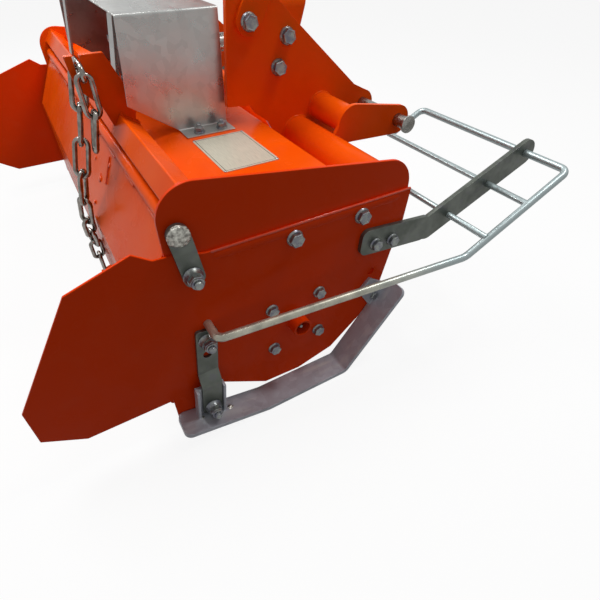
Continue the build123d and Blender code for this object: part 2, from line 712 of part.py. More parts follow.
JOGGLE_Z = CHANNEL_TOP_Z + STRAP_T  # lower fold of the strap's joggle, just above the channel
strap_run = (Vector(*STRAP_TOP_BOLT) - Vector(*FOOT_BOLT)).normalized()
channel_x = FOOT_BOLT[0] + strap_run.X / strap_run.Y * (CHANNEL_TOP_Z - FOOT_BOLT[1])
channel_shift = CHANNEL_INNER / 2 - STRAP_WIDTH / 2 - STRAP_PLAY  # the strap stands at the front leg

for side, s in SIDES:
    # The channel leans as the strap does: local x runs forward, square to the strap.
    channel_plane = Plane(
        origin=at(channel_x, 0, CHANNEL_TOP_Z),
        x_dir=(strap_run.Y, 0, -strap_run.X),
        z_dir=(strap_run.X, 0, strap_run.Y),
    )
    with BuildPart() as skid:
        with BuildSketch(channel_plane):
            web_y = SHIELD_OUT + STRAP_JOGGLE  # face that the strap lies against
            with Locations((-channel_shift, s * (web_y - STRAP_T + CHANNEL_DEPTH / 2))):
                Rectangle(CHANNEL_INNER + 2 * CHANNEL_WALL, CHANNEL_DEPTH)
            with Locations((-channel_shift, s * (web_y + CHANNEL_DEPTH / 2))):
                Rectangle(CHANNEL_INNER, CHANNEL_DEPTH, mode=Mode.SUBTRACT)
        extrude(amount=-AXLE_HEIGHT)
        with BuildSketch(side_plane(0)):
            Polygon(HEEL, REAR_BEND, (REAR_BEND[0], 0), (HEEL[0], 0))
        extrude(amount=OVERALL_WIDTH, both=True, mode=Mode.INTERSECT)
        with BuildSketch(side_plane(s * (SHIELD_OUT + SKID_GAP + SKID_WIDTH / 2))):
            bent_strip((HEEL, REAR_BEND, FRONT_BEND, SKID_TOE), SKID_T, 12)
        extrude(amount=SKID_WIDTH / 2, both=True)
        for end in (0, -1):
            short_edges = skid.faces().sort_by(Axis.X)[end].edges().filter_by(Axis.Y, reverse=True)
            fillet(short_edges, SKID_CORNER_R)
        with BuildSketch(side_plane(s * (SHIELD_OUT + STRAP_T / 2))):
            Polygon((152, 33), (129, 10), on_rise(0.66), on_rise(0.94))
        extrude(amount=STRAP_T / 2, both=True)
    save(skid.part, f"skid_{side}")

    with BuildPart() as skid_strap:
        strap_mid = SHIELD_OUT + STRAP_T / 2
        with BuildSketch(rear_plane(0)):
            bent_strip(
                (
                    (s * strap_mid, AXLE_HEIGHT),
                    (s * strap_mid, JOGGLE_Z + STRAP_JOGGLE),
                    (s * (strap_mid + STRAP_JOGGLE), JOGGLE_Z),
                    (s * (strap_mid + STRAP_JOGGLE), -AXLE_HEIGHT),
                ),
                STRAP_T,
                STRAP_T,
            )
        extrude(amount=OVERALL_WIDTH / 2, both=True)
        with BuildSketch(side_plane(0)):
            flat_outline(
                FOOT_BOLT, STRAP_TOP_BOLT, STRAP_WIDTH, 5, STRAP_FOOT_MARGIN, STRAP_TOP_MARGIN
            )
            spare = Vector(*STRAP_TOP_BOLT) - strap_run * STRAP_SPARE_HOLE
            with Locations((spare.X, spare.Y)):
                Circle(SPARE_HOLE_D / 2, mode=Mode.SUBTRACT)
        extrude(amount=OVERALL_WIDTH, both=True, mode=Mode.INTERSECT)
    save(skid_strap.part, f"skid_strap_{side}")

# ---------------------------------------------------------------- front guards
for side, s in SIDES:
    arm_y = SHIELD_OUT + ARM_T / 2
    with BuildPart() as guard_arm:
        with BuildSketch(side_plane(s * arm_y)):
            flat_outline(ARM_ROOT, ARM_ELBOW, ARM_WIDTH, ARM_CORNER_R)
            bar_outline((ARM_ELBOW, GUARD_RODS[0]), ARM_WIDTH)
            with Locations(GUARD_RODS[0]):
                Circle(LOOP_ROD_D / 2 + JOIN_GAP, mode=Mode.SUBTRACT)
            with Locations(GUARD_RODS[1:]):
                Circle(CROSS_ROD_D / 2 + JOIN_GAP, mode=Mode.SUBTRACT)
        extrude(amount=ARM_T / 2, both=True)
    save(guard_arm.part, f"guard_arm_{side}")

    (x1, z1), (x2, z2), _ = GUARD_RODS
    out_y = s * (SHIELD_OUT + GUARD_OUT)
    in_y = s * (SHIELD_OUT - GUARD_IN)
    tail_y = s * (SHIELD_OUT + GUARD_OUT_REAR)
    with BuildPart() as guard_loop:
        with BuildLine() as loop_path:
            FilletPolyline(
                at(x2, in_y, z2),
                at(x1, in_y, z1),
                at(x1, out_y, z1),
                at(GUARD_ELBOW[0], out_y, GUARD_ELBOW[1]),
                at(GUARD_TAIL[0], tail_y, GUARD_TAIL[1]),
                at(GUARD_TAIL[0], s * (SHIELD_OUT + JOIN_GAP), GUARD_TAIL[1]),
                radius=(14, 14, 40, 14),
            )
        with BuildSketch(Plane(loop_path.line ^ 0)):
            Circle(LOOP_ROD_D / 2)
        sweep()
        for x, z in GUARD_RODS[1:]:
            with BuildSketch(side_plane(in_y - s * CROSS_ROD_END)):
                with Locations((x, z)):
                    Circle(CROSS_ROD_D / 2)
            extrude(amount=-s * (CROSS_ROD_END + GUARD_IN + GUARD_OUT))
    save(guard_loop.part, f"guard_loop_{side}")

# ---------------------------------------------------------------- name plate
NAME_PLATE = (88.0, 130.0, 1.0)  # length, width across the machine, thickness
NAME_PLATE_X = -20.0
NAME_PLATE_MARGIN = 14.0  # from the foot of the gearbox guard
name_plate_y = -(GUARD_Y + GUARD_FOOT + NAME_PLATE_MARGIN + NAME_PLATE[1] / 2)
with BuildPart() as name_plate:
    with BuildSketch(level_plane(DECK_Z)):
        with Locations((NAME_PLATE_X, name_plate_y)):
            RectangleRounded(NAME_PLATE[0], NAME_PLATE[1], 3)
    extrude(amount=NAME_PLATE[2])
save(name_plate.part, "name_plate")

# ---------------------------------------------------------------- chain that holds the tail board
CHAIN_WIRE = 8.0
CHAIN_INNER = 52.0  # inner length of a link
CHAIN_WIDTH = 28.0
LINK_PLAY = 0.8  # room left between two links that hang in each other
CHAIN_PITCH = CHAIN_INNER - LINK_PLAY
BEND_R = (CHAIN_WIDTH - CHAIN_WIRE) / 2  # of the wire's middle, at the ends of a link
LINK_REACH = CHAIN_INNER / 2 + CHAIN_WIRE / 2  # from a link's middle to the middle of its end wire
BEND_FLATS = 6  # straight pieces that an end's half turn is made of
WIRE_FLATS = 8
POST_Y = -238.0
POST_T = 10.0
POST_SLOT = (-188.0, 338.0)  # foot of the slot that the chain hangs in
SLOT_DEPTH = 34.0
LUG_T = 6.0
LUG_HALF = 16.0
LUG_HOLE_R = CHAIN_WIRE / 2 + 3

# One row a link: how far it leans rearward and to the left, as a share of its length.
HELD_LEANS = (
    (0.27, -0.12), (0.29, -0.16), (0.29, -0.1), (0.22, 0.12), (0.12, 0.38),
    (0.0, 0.57), (0.0, 0.6), (0.0, 0.44), (0.0, 0.2),
)
LOOSE_LEANS = ((0.0, 0.0), (0.26, 0.0))
# Each link is turned on from the last, so that the first hangs square on the top link
# and the last square in the lug.
HELD_TURN = (90 + 180 * (len(HELD_LEANS) // 2)) / (len(HELD_LEANS) - 1)
LOOSE_TURN = 90.0

# The top link lies across the post in its slot, and both strands hang from its ends.
TOP_LINK_Z = POST_SLOT[1] + CHAIN_WIRE / 2 + BEND_R + 0.3
LINK_OVERLAP = LINK_REACH - CHAIN_PITCH / 2  # how far a link's end wire passes the end of its step
HUNG_Z = TOP_LINK_Z - BEND_R + CHAIN_WIRE + 1.5 - LINK_OVERLAP
HUNG_Y = LINK_REACH - BEND_R + 0.5

with BuildPart() as chain_post:
    with BuildSketch(side_plane(POST_Y)):
        Polygon((-158, 255), (-128, 266), (-120, 300), (-150, 372), (-204, 372), (-200, 330), (-172, 300))
        with Locations((POST_SLOT[0], POST_SLOT[1] + SLOT_DEPTH)):
            Rectangle(CHAIN_WIRE + 2, 2 * SLOT_DEPTH, mode=Mode.SUBTRACT)
        rear_tube_section(REAR_TUBE_SIDE, Mode.SUBTRACT)
    extrude(amount=POST_T / 2, both=True)
save(chain_post.part, "chain_post")


def link(middle, along, across):
    """Long chain link: middle point, direction of its length, direction of its width."""
    half = LINK_REACH - BEND_R
    turn = math.pi / BEND_FLATS
    corner_r = BEND_R / math.cos(turn / 2)
    angles = [turn * (i + 0.5) for i in range(BEND_FLATS)]
    corners = [(corner_r * math.cos(a), half + corner_r * math.sin(a)) for a in angles]
    with BuildPart() as wire:
        with BuildLine(Plane(origin=middle, x_dir=across, z_dir=across.cross(along))) as half_way:
            Polyline((BEND_R, 0), *corners, (-BEND_R, 0))
        with BuildSketch(Plane(half_way.line ^ 0)):
            RegularPolygon(CHAIN_WIRE / 2, WIRE_FLATS, rotation=180 / WIRE_FLATS)
        sweep(transition=Transition.RIGHT)
        mirror(about=Plane(origin=middle, z_dir=along))
    return wire.part


def strand(start, leans, turn):
    """Links hung one in the next from a start point; returns them and the point where they end."""
    made = []
    for i, (rearward, leftward) in enumerate(leans):
        along = Vector(-rearward, leftward, -math.sqrt(1 - rearward**2 - leftward**2))
        middle = start + along * (CHAIN_PITCH / 2)
        square = along.cross(Vector(0, 1, 0)).normalized()
        across = square.rotate(Axis(Vector(0, 0, 0), along), i * turn)
        made.append(link(middle, along, across))
        start += along * CHAIN_PITCH
    return made, start


top = link(at(POST_SLOT[0], POST_Y, TOP_LINK_Z), Vector(0, 1, 0), Vector(0, 0, 1))
held, held_end = strand(at(POST_SLOT[0], POST_Y + HUNG_Y, HUNG_Z), HELD_LEANS, HELD_TURN)
loose, _ = strand(at(POST_SLOT[0], POST_Y - HUNG_Y, HUNG_Z - 1), LOOSE_LEANS, LOOSE_TURN)
save(Compound(children=[top, *held, *loose]), "tail_chain")

with BuildPart() as chain_lug:
    leaf = BOARD_CREASE[0] - MID_X - held_end.X  # the board's rear face, seen from the chain's end
    hole_z = -LINK_OVERLAP - 0.4
    with BuildSketch(Plane(origin=held_end, x_dir=(1, 0, 0), z_dir=(0, -1, 0))):
        Polygon(
            (leaf, hole_z + LUG_HALF),
            (leaf, hole_z - LUG_HALF),
            (-LUG_HALF / 2, hole_z - LUG_HALF / 2),
            (-LUG_HALF / 2, hole_z + LUG_HALF / 2),
        )
        with Locations((0, hole_z)):
            Circle(LUG_HOLE_R, mode=Mode.SUBTRACT)
    extrude(amount=LUG_T / 2, both=True)
save(chain_lug.part, "chain_lug")
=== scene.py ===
"""Finish of a compact tractor rotavator: coats, zinc, bolts, welds and chain on its frame."""

import json
import random
from functools import cache
from math import cos, pi, radians, sin, sqrt

import bmesh
import bpy
from bpy.props import FloatProperty, FloatVectorProperty, IntProperty, PointerProperty
from mathutils import Matrix, Vector


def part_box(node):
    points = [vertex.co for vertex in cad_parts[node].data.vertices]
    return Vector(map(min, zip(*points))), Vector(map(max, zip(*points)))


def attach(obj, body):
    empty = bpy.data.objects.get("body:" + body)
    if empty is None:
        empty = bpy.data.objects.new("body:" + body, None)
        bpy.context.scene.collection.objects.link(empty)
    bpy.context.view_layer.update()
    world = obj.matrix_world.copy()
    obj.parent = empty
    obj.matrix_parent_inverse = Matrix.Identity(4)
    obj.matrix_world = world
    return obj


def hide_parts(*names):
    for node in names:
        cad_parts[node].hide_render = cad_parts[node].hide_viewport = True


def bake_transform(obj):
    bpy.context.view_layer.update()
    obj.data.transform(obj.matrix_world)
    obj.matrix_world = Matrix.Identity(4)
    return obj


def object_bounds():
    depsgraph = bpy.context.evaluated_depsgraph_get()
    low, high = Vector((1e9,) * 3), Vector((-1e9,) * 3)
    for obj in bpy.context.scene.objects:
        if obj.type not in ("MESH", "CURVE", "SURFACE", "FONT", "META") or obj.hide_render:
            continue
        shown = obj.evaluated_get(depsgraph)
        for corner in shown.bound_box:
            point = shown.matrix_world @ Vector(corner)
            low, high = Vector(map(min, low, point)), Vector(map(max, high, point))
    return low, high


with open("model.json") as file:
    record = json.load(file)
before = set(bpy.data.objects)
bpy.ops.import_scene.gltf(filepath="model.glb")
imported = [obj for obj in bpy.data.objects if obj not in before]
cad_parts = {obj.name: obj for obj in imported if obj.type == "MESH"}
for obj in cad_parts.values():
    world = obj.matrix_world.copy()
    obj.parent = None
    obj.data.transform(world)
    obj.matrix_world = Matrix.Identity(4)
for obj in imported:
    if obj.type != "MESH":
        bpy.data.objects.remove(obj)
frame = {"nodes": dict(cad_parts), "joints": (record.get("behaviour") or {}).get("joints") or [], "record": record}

bl_info = {
    "name": "Rotavator",
    "version": (1, 0, 0),
    "blender": (4, 5, 0),
    "location": "View3D > Sidebar > Rotavator",
    "description": "Dresses a tractor rotavator with its coats, fasteners, welds and chain",
    "category": "Object",
}

MM = 0.001
MERGE = 0.00001  # in metres; points nearer than this become one
CAD_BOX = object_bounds()
JOINTS = {joint["name"]: joint for joint in frame["joints"]}
ROTOR_AXIS = Vector(JOINTS["rotor_spin"]["pos_m"])
BODY_OF = {
    node: body
    for body, nodes in frame["record"]["behaviour"]["bodies"].items()
    for node in nodes
}
SLOT_OF = {part["node"]: part["material_slot"] for part in frame["record"]["subparts"]}
SIDES = (("right", -1), ("left", 1))
X, Y = 0, 1
LOW, HIGH = 0, 1


def reach(node, end=HIGH, axis=Y):
    """Where a CAD piece ends along an axis, in millimetres from the rotor's middle."""
    return 1000 * (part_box(node)[end] - ROTOR_AXIS)[axis]


# Distances from the middle plane, in millimetres.
STRAP_T, STRAP_JOGGLE = 6, 16
SHIELD_Y = reach("side_shield_left")
PLATE_IN_Y = reach("deck")
STRAP_Y = SHIELD_Y + STRAP_T
STRAP_FOOT_Y = STRAP_Y + STRAP_JOGGLE
LINK_Y = reach("hinge_pin_left")
ARM_Y = reach("guard_arm_left")


def linear(code):
    """An sRGB hex colour as the linear colour that a shader takes."""
    values = [int(code[i : i + 2], 16) / 255 for i in (1, 3, 5)]
    return tuple(v / 12.92 if v <= 0.04045 else ((v + 0.055) / 1.055) ** 2.4 for v in values)


def spot(x, y, z):
    """A point given in millimetres from the rotor's middle, forward, left and up."""
    return ROTOR_AXIS + Vector((x, y, z)) * MM


# --- sizes and colours
def amount(name, description, default, unit="LENGTH"):
    return FloatProperty(
        name=name, description=description, default=default, unit=unit, min=0, precision=4
    )


def colour_property(name, description, code):
    return FloatVectorProperty(
        name=name, description=description, default=linear(code), subtype="COLOR", min=0, max=1
    )


class RotavatorSizes(bpy.types.PropertyGroup):
    sheet_edge: amount("Sheet edge", "Rounding of the edges of sheet and plate", 0.0005)
    plate_edge: amount("Plate edge", "Rounding of end plates and side shields", 0.0011)
    tube_edge: amount("Tube edge", "Rounding of the square tube's corners", 0.003)
    forged_edge: amount("Forged edge", "Rounding of the tines' edges", 0.0012)
    cast_edge: amount("Cast edge", "Rounding of the gearbox's edges", 0.002)
    weld_width: amount("Weld width", "Width of a weld bead", 0.006)
    weld_pitch: amount("Weld pitch", "Distance from one weld ripple to the next", 0.0026)
    wire: amount("Chain wire", "Diameter of the chain's wire", 0.008)
    wire_sides: IntProperty(
        name="Wire sides", description="Faces round the chain's wire", default=10, min=6
    )


class RotavatorColours(bpy.types.PropertyGroup):
    enamel: colour_property("Enamel", "Orange enamel where it is clean", "#F85C08")
    enamel_deep: colour_property("Enamel, deep", "Orange enamel where it is thick", "#F05006")
    # A redder enamel on the outer plates is painted shade, for sides that face away from the lamps.
    enamel_plate: colour_property("Enamel, plates", "Enamel on the outer plates", "#F04207")
    zinc: colour_property("Zinc", "Electroplated zinc on plate", "#6D726B")
    zinc_dark: colour_property("Zinc, dark", "Duller patches of the plated zinc", "#575C55")
    rod: colour_property("Rod", "Hot-dip zinc on the guard's rods", "#D8D5C2")
    skid: colour_property("Skid", "Hot-dip zinc on the skids", "#BEC2CB")
    sheet: colour_property("Sheet", "Galvanised sheet of the gearbox guard", "#C0C1BE")
    fastener: colour_property("Fasteners", "Bright zinc on bolts and nuts", "#9BA09A")
    chain: colour_property("Chain", "Bright zinc on the chain", "#A5A29C")


class RotavatorStage(bpy.types.PropertyGroup):
    key_power: amount("Key light", "Power of the lamp overhead", 32, "POWER")
    side_power: amount("Side light", "Power of the small lamp on the left", 7, "POWER")
    glint_power: amount("Glint light", "Power of the small lamp at the front", 14, "POWER")
    sky: amount("Sky", "Strength of the even light from all round", 0.24, "NONE")
    focal_length: amount("Focal length", "Focal length of the camera", 25.92, "CAMERA")


# --- materials
MIX_FACTOR, MIX_FIRST, MIX_SECOND = 0, 6, 7  # sockets of a mix node that mixes colours
WHITE = linear("#FFFFFF")


def add_node(tree, kind, inputs=None, **settings):
    """Adds a shader node, sets its properties, and sets or links its inputs.

    A node given for an input is linked by its first output that is in use.
    """
    node = tree.nodes.new(f"ShaderNode{kind}")
    for name, value in settings.items():
        setattr(node, name, value)
    for key, value in (inputs or {}).items():
        socket = node.inputs[key]
        if isinstance(value, bpy.types.Node):
            value = next(output for output in value.outputs if output.enabled)
        if isinstance(value, bpy.types.NodeSocket):
            tree.links.new(value, socket)
        else:
            socket.default_value = (*value, 1.0) if socket.type == "RGBA" else value
    return node


class Coat:
    """A material in the making, whose patterns lie in the object's own coordinates."""

    def __init__(self, name):
        self.material = bpy.data.materials.new(name)
        self.material.use_nodes = True
        self.tree = self.material.node_tree
        self.tree.nodes.clear()
        self.place = add_node(self.tree, "TexCoord").outputs["Object"]

    def pattern(self, size_mm, detail, low=None, high=None, span=(0.35, 0.65), stretch=None):
        """Patches size_mm across, drawn out along an axis by a stretch.

        With low and high, the values of the pattern within span are spread over them.
        """
        place = self.place
        if stretch:
            place = add_node(self.tree, "Mapping", {"Vector": place, "Scale": stretch})
        inputs = {"Vector": place, "Scale": 1000 / size_mm, "Detail": detail}
        patches = add_node(self.tree, "TexNoise", inputs)
        if low is None:
            return patches
        inputs = {"Value": patches, "From Min": span[0], "From Max": span[1]}
        return add_node(self.tree, "MapRange", {**inputs, "To Min": low, "To Max": high})

    def flowers(self, size_mm, strength):
        """Zinc flowers size_mm across, each of an even value between 0 and strength."""
        inputs = {"Vector": self.place, "Scale": 1000 / size_mm}
        cells = add_node(self.tree, "TexVoronoi", inputs).outputs["Color"]
        value = add_node(self.tree, "RGBToBW", {"Color": cells})
        return add_node(self.tree, "MapRange", {"Value": value, "To Max": strength})

    def value(self, given):
        """The pattern that a tuple describes or the colour of a code or name, or what is given."""
        if isinstance(given, tuple):
            return self.pattern(*given)
        if isinstance(given, str):
            user = bpy.context.scene.rotavator_colours
            return linear(given) if given.startswith("#") else getattr(user, given)
        return given

    def close(self, colour, layers, roughness, metallic=0.0, relief=(), specular=0.5):
        """Lays colours one over the other and one relief on the next, and closes the material.

        A layer is a factor and a colour; a relief is a height and its depth in millimetres.
        A colour is a hex code or the name of one of the user's colours.
        """
        colour = self.value(colour)
        for factor, over in layers:
            inputs = {MIX_FACTOR: self.value(factor), MIX_FIRST: colour}
            inputs[MIX_SECOND] = self.value(over)
            colour = add_node(self.tree, "Mix", inputs, data_type="RGBA")
        below = {}
        for height, depth_mm in relief:
            inputs = {"Height": self.value(height), "Distance": depth_mm * MM, **below}
            below = {"Normal": add_node(self.tree, "Bump", inputs)}
        inputs = {"Base Color": colour, "Roughness": self.value(roughness), **below}
        inputs |= {"Metallic": self.value(metallic), "Specular IOR Level": specular}
        surface = add_node(self.tree, "BsdfPrincipled", inputs)
        add_node(self.tree, "OutputMaterial", {"Surface": surface})
        return self.material


def orange_enamel(name="baked orange enamel", specular=0.06):
    """Baked enamel over welded mild steel: even and glossy, faintly rippled, a little dusty, with painted shade on
    the outer plates.
    """
    coat = Coat(name)
    across = add_node(coat.tree, "SeparateXYZ", {"Vector": coat.place}).outputs["Y"]
    distance = add_node(coat.tree, "Math", {0: across}, operation="ABSOLUTE")
    plate_in = PLATE_IN_Y * MM
    inputs = {"Value": distance, "From Min": plate_in, "From Max": plate_in + MM}
    layers = [
        ((110, 3, 0, 1, (0.3, 0.7)), "enamel_deep"),
        # End plates and shields take a redder enamel: painted shade for their outer faces, which turn away from
        # the lamps.
        (add_node(coat.tree, "MapRange", inputs), "enamel_plate"),
        # A thin film of dust dulls the coat in patches a hand wide.
        ((45, 4, 0, 0.03, (0.55, 0.8)), "#D9A07C"),
    ]
    relief = [
        # The ripple of sprayed enamel is 2 to 3 mm long and is drawn at 5 mm so that it shows.
        ((5, 1), 0.03),
        # Rolled and welded sheet is never quite flat: waves 180 mm long.
        ((180, 1), 0.9),
    ]
    return coat.close("enamel", layers, (60, 2, 0.2, 0.3), 0.0, relief, specular)


def edge_enamel():
    """The same enamel drawn thin over sheared edges, where it is glassier and catches light."""
    return orange_enamel("baked orange enamel, edges", 0.6)


def rotor_paint():
    """Orange enamel on the rotor: scuffed to bare steel in small patches by its first turns."""
    bare = (0.62, 0.66)
    return Coat("worn orange enamel").close(
        "enamel_deep", [((18, 8, 0, 1, bare), "#5B5650")], roughness=(12, 4, 0.35, 0.6),
        metallic=(18, 8, 0, 0.8, bare), relief=[((4, 3), 0.12)],
    )


def zinc_plate():
    """Electroplated zinc, passivated: a grey-green satin skin, clouded, with violet traces."""
    layers = [
        ((30, 5, 0, 1), "zinc_dark"),
        # Iridescent traces of the passivation bath.
        ((14, 2, 0, 0.35, (0.55, 0.75)), "#6C6478"),
    ]
    # Mill scale under the plating leaves pits of 1.5 mm, drawn at 3 mm so that they show.
    return Coat("passivated zinc plating").close(
        "zinc", layers, roughness=(9, 6, 0.3, 0.46), metallic=0.7, relief=[((3, 4), 0.06)]
    )


def galvanised_rod():
    """Hot-dip zinc on drawn rod: pale and faintly yellow, lumpy, with a satin shine."""
    coat = Coat("hot-dip galvanised rod")
    # Towards the front the rod's colour turns bluer.
    forward = add_node(coat.tree, "SeparateXYZ", {"Vector": coat.place}).outputs["X"]
    front = add_node(coat.tree, "MapRange", {"Value": forward, "From Min": 0.02, "From Max": 0.2})
    return coat.close(
        "rod", [((22, 5, 0, 1, (0.3, 0.7)), "#A3A396"), (front, "#AEBBBC")],
        roughness=(8, 4, 0.26, 0.4), metallic=0.6, relief=[((9, 2), 0.15)],
    )


def galvanised_skid():
    """Hot-dip zinc on flat bar: blue-grey, with zinc flowers and pale streaks where it ran off."""
    coat = Coat("hot-dip galvanised flat bar")
    streaks = (40, 6, 0, 0.7, (0.52, 0.72), (0.35, 2.5, 1))
    # Zinc flowers on hot-dipped bar are 8 to 20 mm across.
    return coat.close(
        "skid", [(coat.flowers(14, 0.5), "#8C8892"), (streaks, "#D6D9D7")],
        roughness=(15, 6, 0.3, 0.48), metallic=0.2, relief=[((7, 4), 0.15)],
    )


def galvanised_sheet():
    """Mill-galvanised sheet: bright, with faint flowers 12 mm across and rolling marks."""
    coat = Coat("mill-galvanised sheet")
    rolled = coat.pattern(30, 2, 0.26, 0.36, stretch=(1, 0.3, 1))
    return coat.close(
        "sheet", [(coat.flowers(12, 0.35), "#8B8C8A")],
        roughness=rolled, metallic=0.85, relief=[((90, 1), 0.8)],
    )


def fastener():
    """Bright zinc on machine-made fasteners: cool and shiny, with a blue and violet tinge."""
    return Coat("bright zinc fasteners").close(
        "fastener", [((9, 3, 0, 1), "#757682")],
        roughness=(4, 5, 0.26, 0.4), metallic=0.75, relief=[((2.5, 3), 0.05)],
    )


def chain_zinc():
    """Bright zinc over welded chain wire: hard highlights on a grey-brown metal."""
    return Coat("zinc-plated chain").close(
        "chain", [((11, 4, 0, 1), "#7C766F")],
        roughness=(5, 4, 0.14, 0.26), metallic=1.0, relief=[((5, 2), 0.12)],
    )


def weld():
    """Bare weld metal under clear zinc: bright, pitted and uneven."""
    return Coat("zinc-sprayed weld metal").close(
        "#D6D5CB", [((5, 5, 0, 1), "#77746E")],
        roughness=0.34, metallic=0.85, relief=[((3, 5), 0.7)],
    )


def plate_aluminium():
    """Clear-anodised aluminium: silvery and satin, brushed across in fine lines."""
    coat = Coat("clear-anodised aluminium")
    # Brush lines are 0.1 mm apart and are drawn at 1 mm so that they show.
    brushed = {"size_mm": 1, "detail": 2, "stretch": (1, 0.05, 1)}
    return coat.close(
        "#DAD7C4", [(coat.pattern(**brushed, low=0, high=1), "#C6C3B0")],
        roughness=coat.pattern(**brushed, low=0.34, high=0.46),
        metallic=0.3, relief=[(coat.pattern(**brushed), 0.02)],
    )


def engraving():
    """Black paint in the engraved border of the name plate: matt and slightly uneven."""
    return Coat("black engraving paint").close("#2C2A28", [((6, 3), "#4A4642")], roughness=0.6)


def gearbox_iron():
    """Sand-cast iron under charcoal paint: grainy, with a dull shine."""
    # Casting sand leaves grains of 0.5 mm, drawn at 2 mm so that they show.
    return Coat("painted iron casting").close(
        "#3A3B3D", [((35, 5, 0, 1), "#26272A")],
        roughness=(10, 4, 0.42, 0.6), relief=[((2, 3), 0.25)],
    )


def bright_steel():
    """Turned and ground steel: bright grey, with fine rings left by the tool."""
    coat = Coat("turned bright steel")
    # The tool's rings are 0.2 mm apart and are drawn at 1.2 mm so that they show.
    rings = {"size_mm": 1.2, "detail": 2, "stretch": (0.2, 1, 0.2)}
    return coat.close(
        "#B5B3AE", [((16, 4, 0, 1), "#8C8983")],
        roughness=coat.pattern(**rings, low=0.22, high=0.38),
        metallic=1.0, relief=[(coat.pattern(**rings), 0.02)],
    )


def forged_steel():
    """Black-painted forged steel: dark and half dull, rubbed to bright metal in small patches."""
    rubbed = (0.58, 0.66)
    return Coat("black-painted forging").close(
        "#27272B", [((14, 7, 0, 1, rubbed), "#6E6C69")], roughness=(9, 4, 0.34, 0.55),
        metallic=(14, 7, 0, 0.9, rubbed), relief=[((5, 4), 0.15)],
    )


# Most finishes go by the name of the material slot that they cover.
FINISHES = {
    maker.__name__: maker
    for maker in (
        orange_enamel, edge_enamel, rotor_paint, zinc_plate, galvanised_rod, galvanised_skid,
        galvanised_sheet, fastener, chain_zinc, weld, plate_aluminium, engraving, gearbox_iron,
        bright_steel, forged_steel,
    )
}


@cache
def finish(name):
    """The material of that name, made once."""
    return FINISHES[name]()


# --- shaping
UP = (0, 0, 1)
FLAT_ANGLE = radians(0.4)  # faces that turn less than this from one to the next become one


def seat(point, toward, turn=0.0):
    """Frame in millimetres at a point, with its Z axis pointing toward and turned about it."""
    facing = Vector(toward).to_track_quat("Z", "Y").to_matrix().to_4x4()
    place = Matrix.Translation(point) @ facing @ Matrix.Rotation(turn, 4, "Z")
    return place @ Matrix.Scale(MM, 4)


def points_round(centre, toward, radius, count, first=0.0):
    """Points spaced evenly round a circle, whose radius is in millimetres; first is in steps."""
    place = seat(centre, toward)
    angles = [2 * pi * (i + first) / count for i in range(count)]
    return [place @ Vector((radius * cos(a), radius * sin(a), 0)) for a in angles]


def turned(form, place, sides, rings):
    """A turned or hexagonal piece: rings of (height, radius) along the Z axis of its place."""
    height, radius = rings[0]
    base = bmesh.ops.create_circle(
        form, cap_ends=True, segments=sides, radius=radius,
        matrix=Matrix.Translation((0, 0, height)),
    )["verts"]
    face, verts = base[0].link_faces[0], list(base)
    for next_height, next_radius in rings[1:]:
        face = bmesh.ops.extrude_discrete_faces(form, faces=[face])["faces"][0]
        ratio = next_radius / radius
        bmesh.ops.scale(form, vec=(ratio, ratio, 1), verts=face.verts)
        bmesh.ops.translate(form, vec=(0, 0, next_height - height), verts=face.verts)
        verts += face.verts
        height, radius = next_height, next_radius
    bmesh.ops.contextual_create(form, geom=base)  # closes the base
    bmesh.ops.transform(form, matrix=place, verts=verts)


def placed(name, data):
    """A new object in the scene."""
    piece = bpy.data.objects.new(name, data)
    bpy.context.scene.collection.objects.link(piece)
    return piece


def finished_piece(form, name, body, slot, finishes=(), smooth_angle=35, replaced=()):
    """Turns a form into a piece that rides on a body, in its slot's finish or in those given."""
    mesh = bpy.data.meshes.new(name)
    bmesh.ops.recalc_face_normals(form, faces=form.faces)
    form.to_mesh(mesh)
    form.free()
    mesh.shade_smooth()
    mesh.set_sharp_from_angle(angle=radians(smooth_angle))
    for key in finishes or [slot]:
        mesh.materials.append(finish(key))
    piece = placed(name, mesh)
    if body:
        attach(piece, body)
    if replaced:
        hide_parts(*replaced)
    return piece


def rounded(nodes, size="sheet_edge", smooth_angle=35):
    """Copies of CAD pieces, with sharp edges rounded by one of the sizes, that stand for them."""
    for node in nodes:
        form = bmesh.new()
        form.from_mesh(frame["nodes"][node].data)
        bmesh.ops.remove_doubles(form, verts=form.verts, dist=2 * MERGE)
        bmesh.ops.dissolve_limit(form, angle_limit=FLAT_ANGLE, verts=form.verts, edges=form.edges)
        piece = finished_piece(
            form, f"{node}_finish", BODY_OF[node], SLOT_OF[node],
            smooth_angle=smooth_angle, replaced=[node],
        )
        bevel = piece.modifiers.new("rounded edges", "BEVEL")
        bevel.width = getattr(bpy.context.scene.rotavator_sizes, size)
        bevel.segments = 2
        bevel.limit_method = "ANGLE"
        bevel.angle_limit = radians(smooth_angle)
        bevel.harden_normals = True
        bevel.use_clamp_overlap = False


def both(*names):
    """The right and left piece of each name."""
    return [f"{name}_{side}" for name in names for side, _ in SIDES]


STEPS = []  # the operators, in the order they run


def step(operator):
    STEPS.append(operator)
    return operator


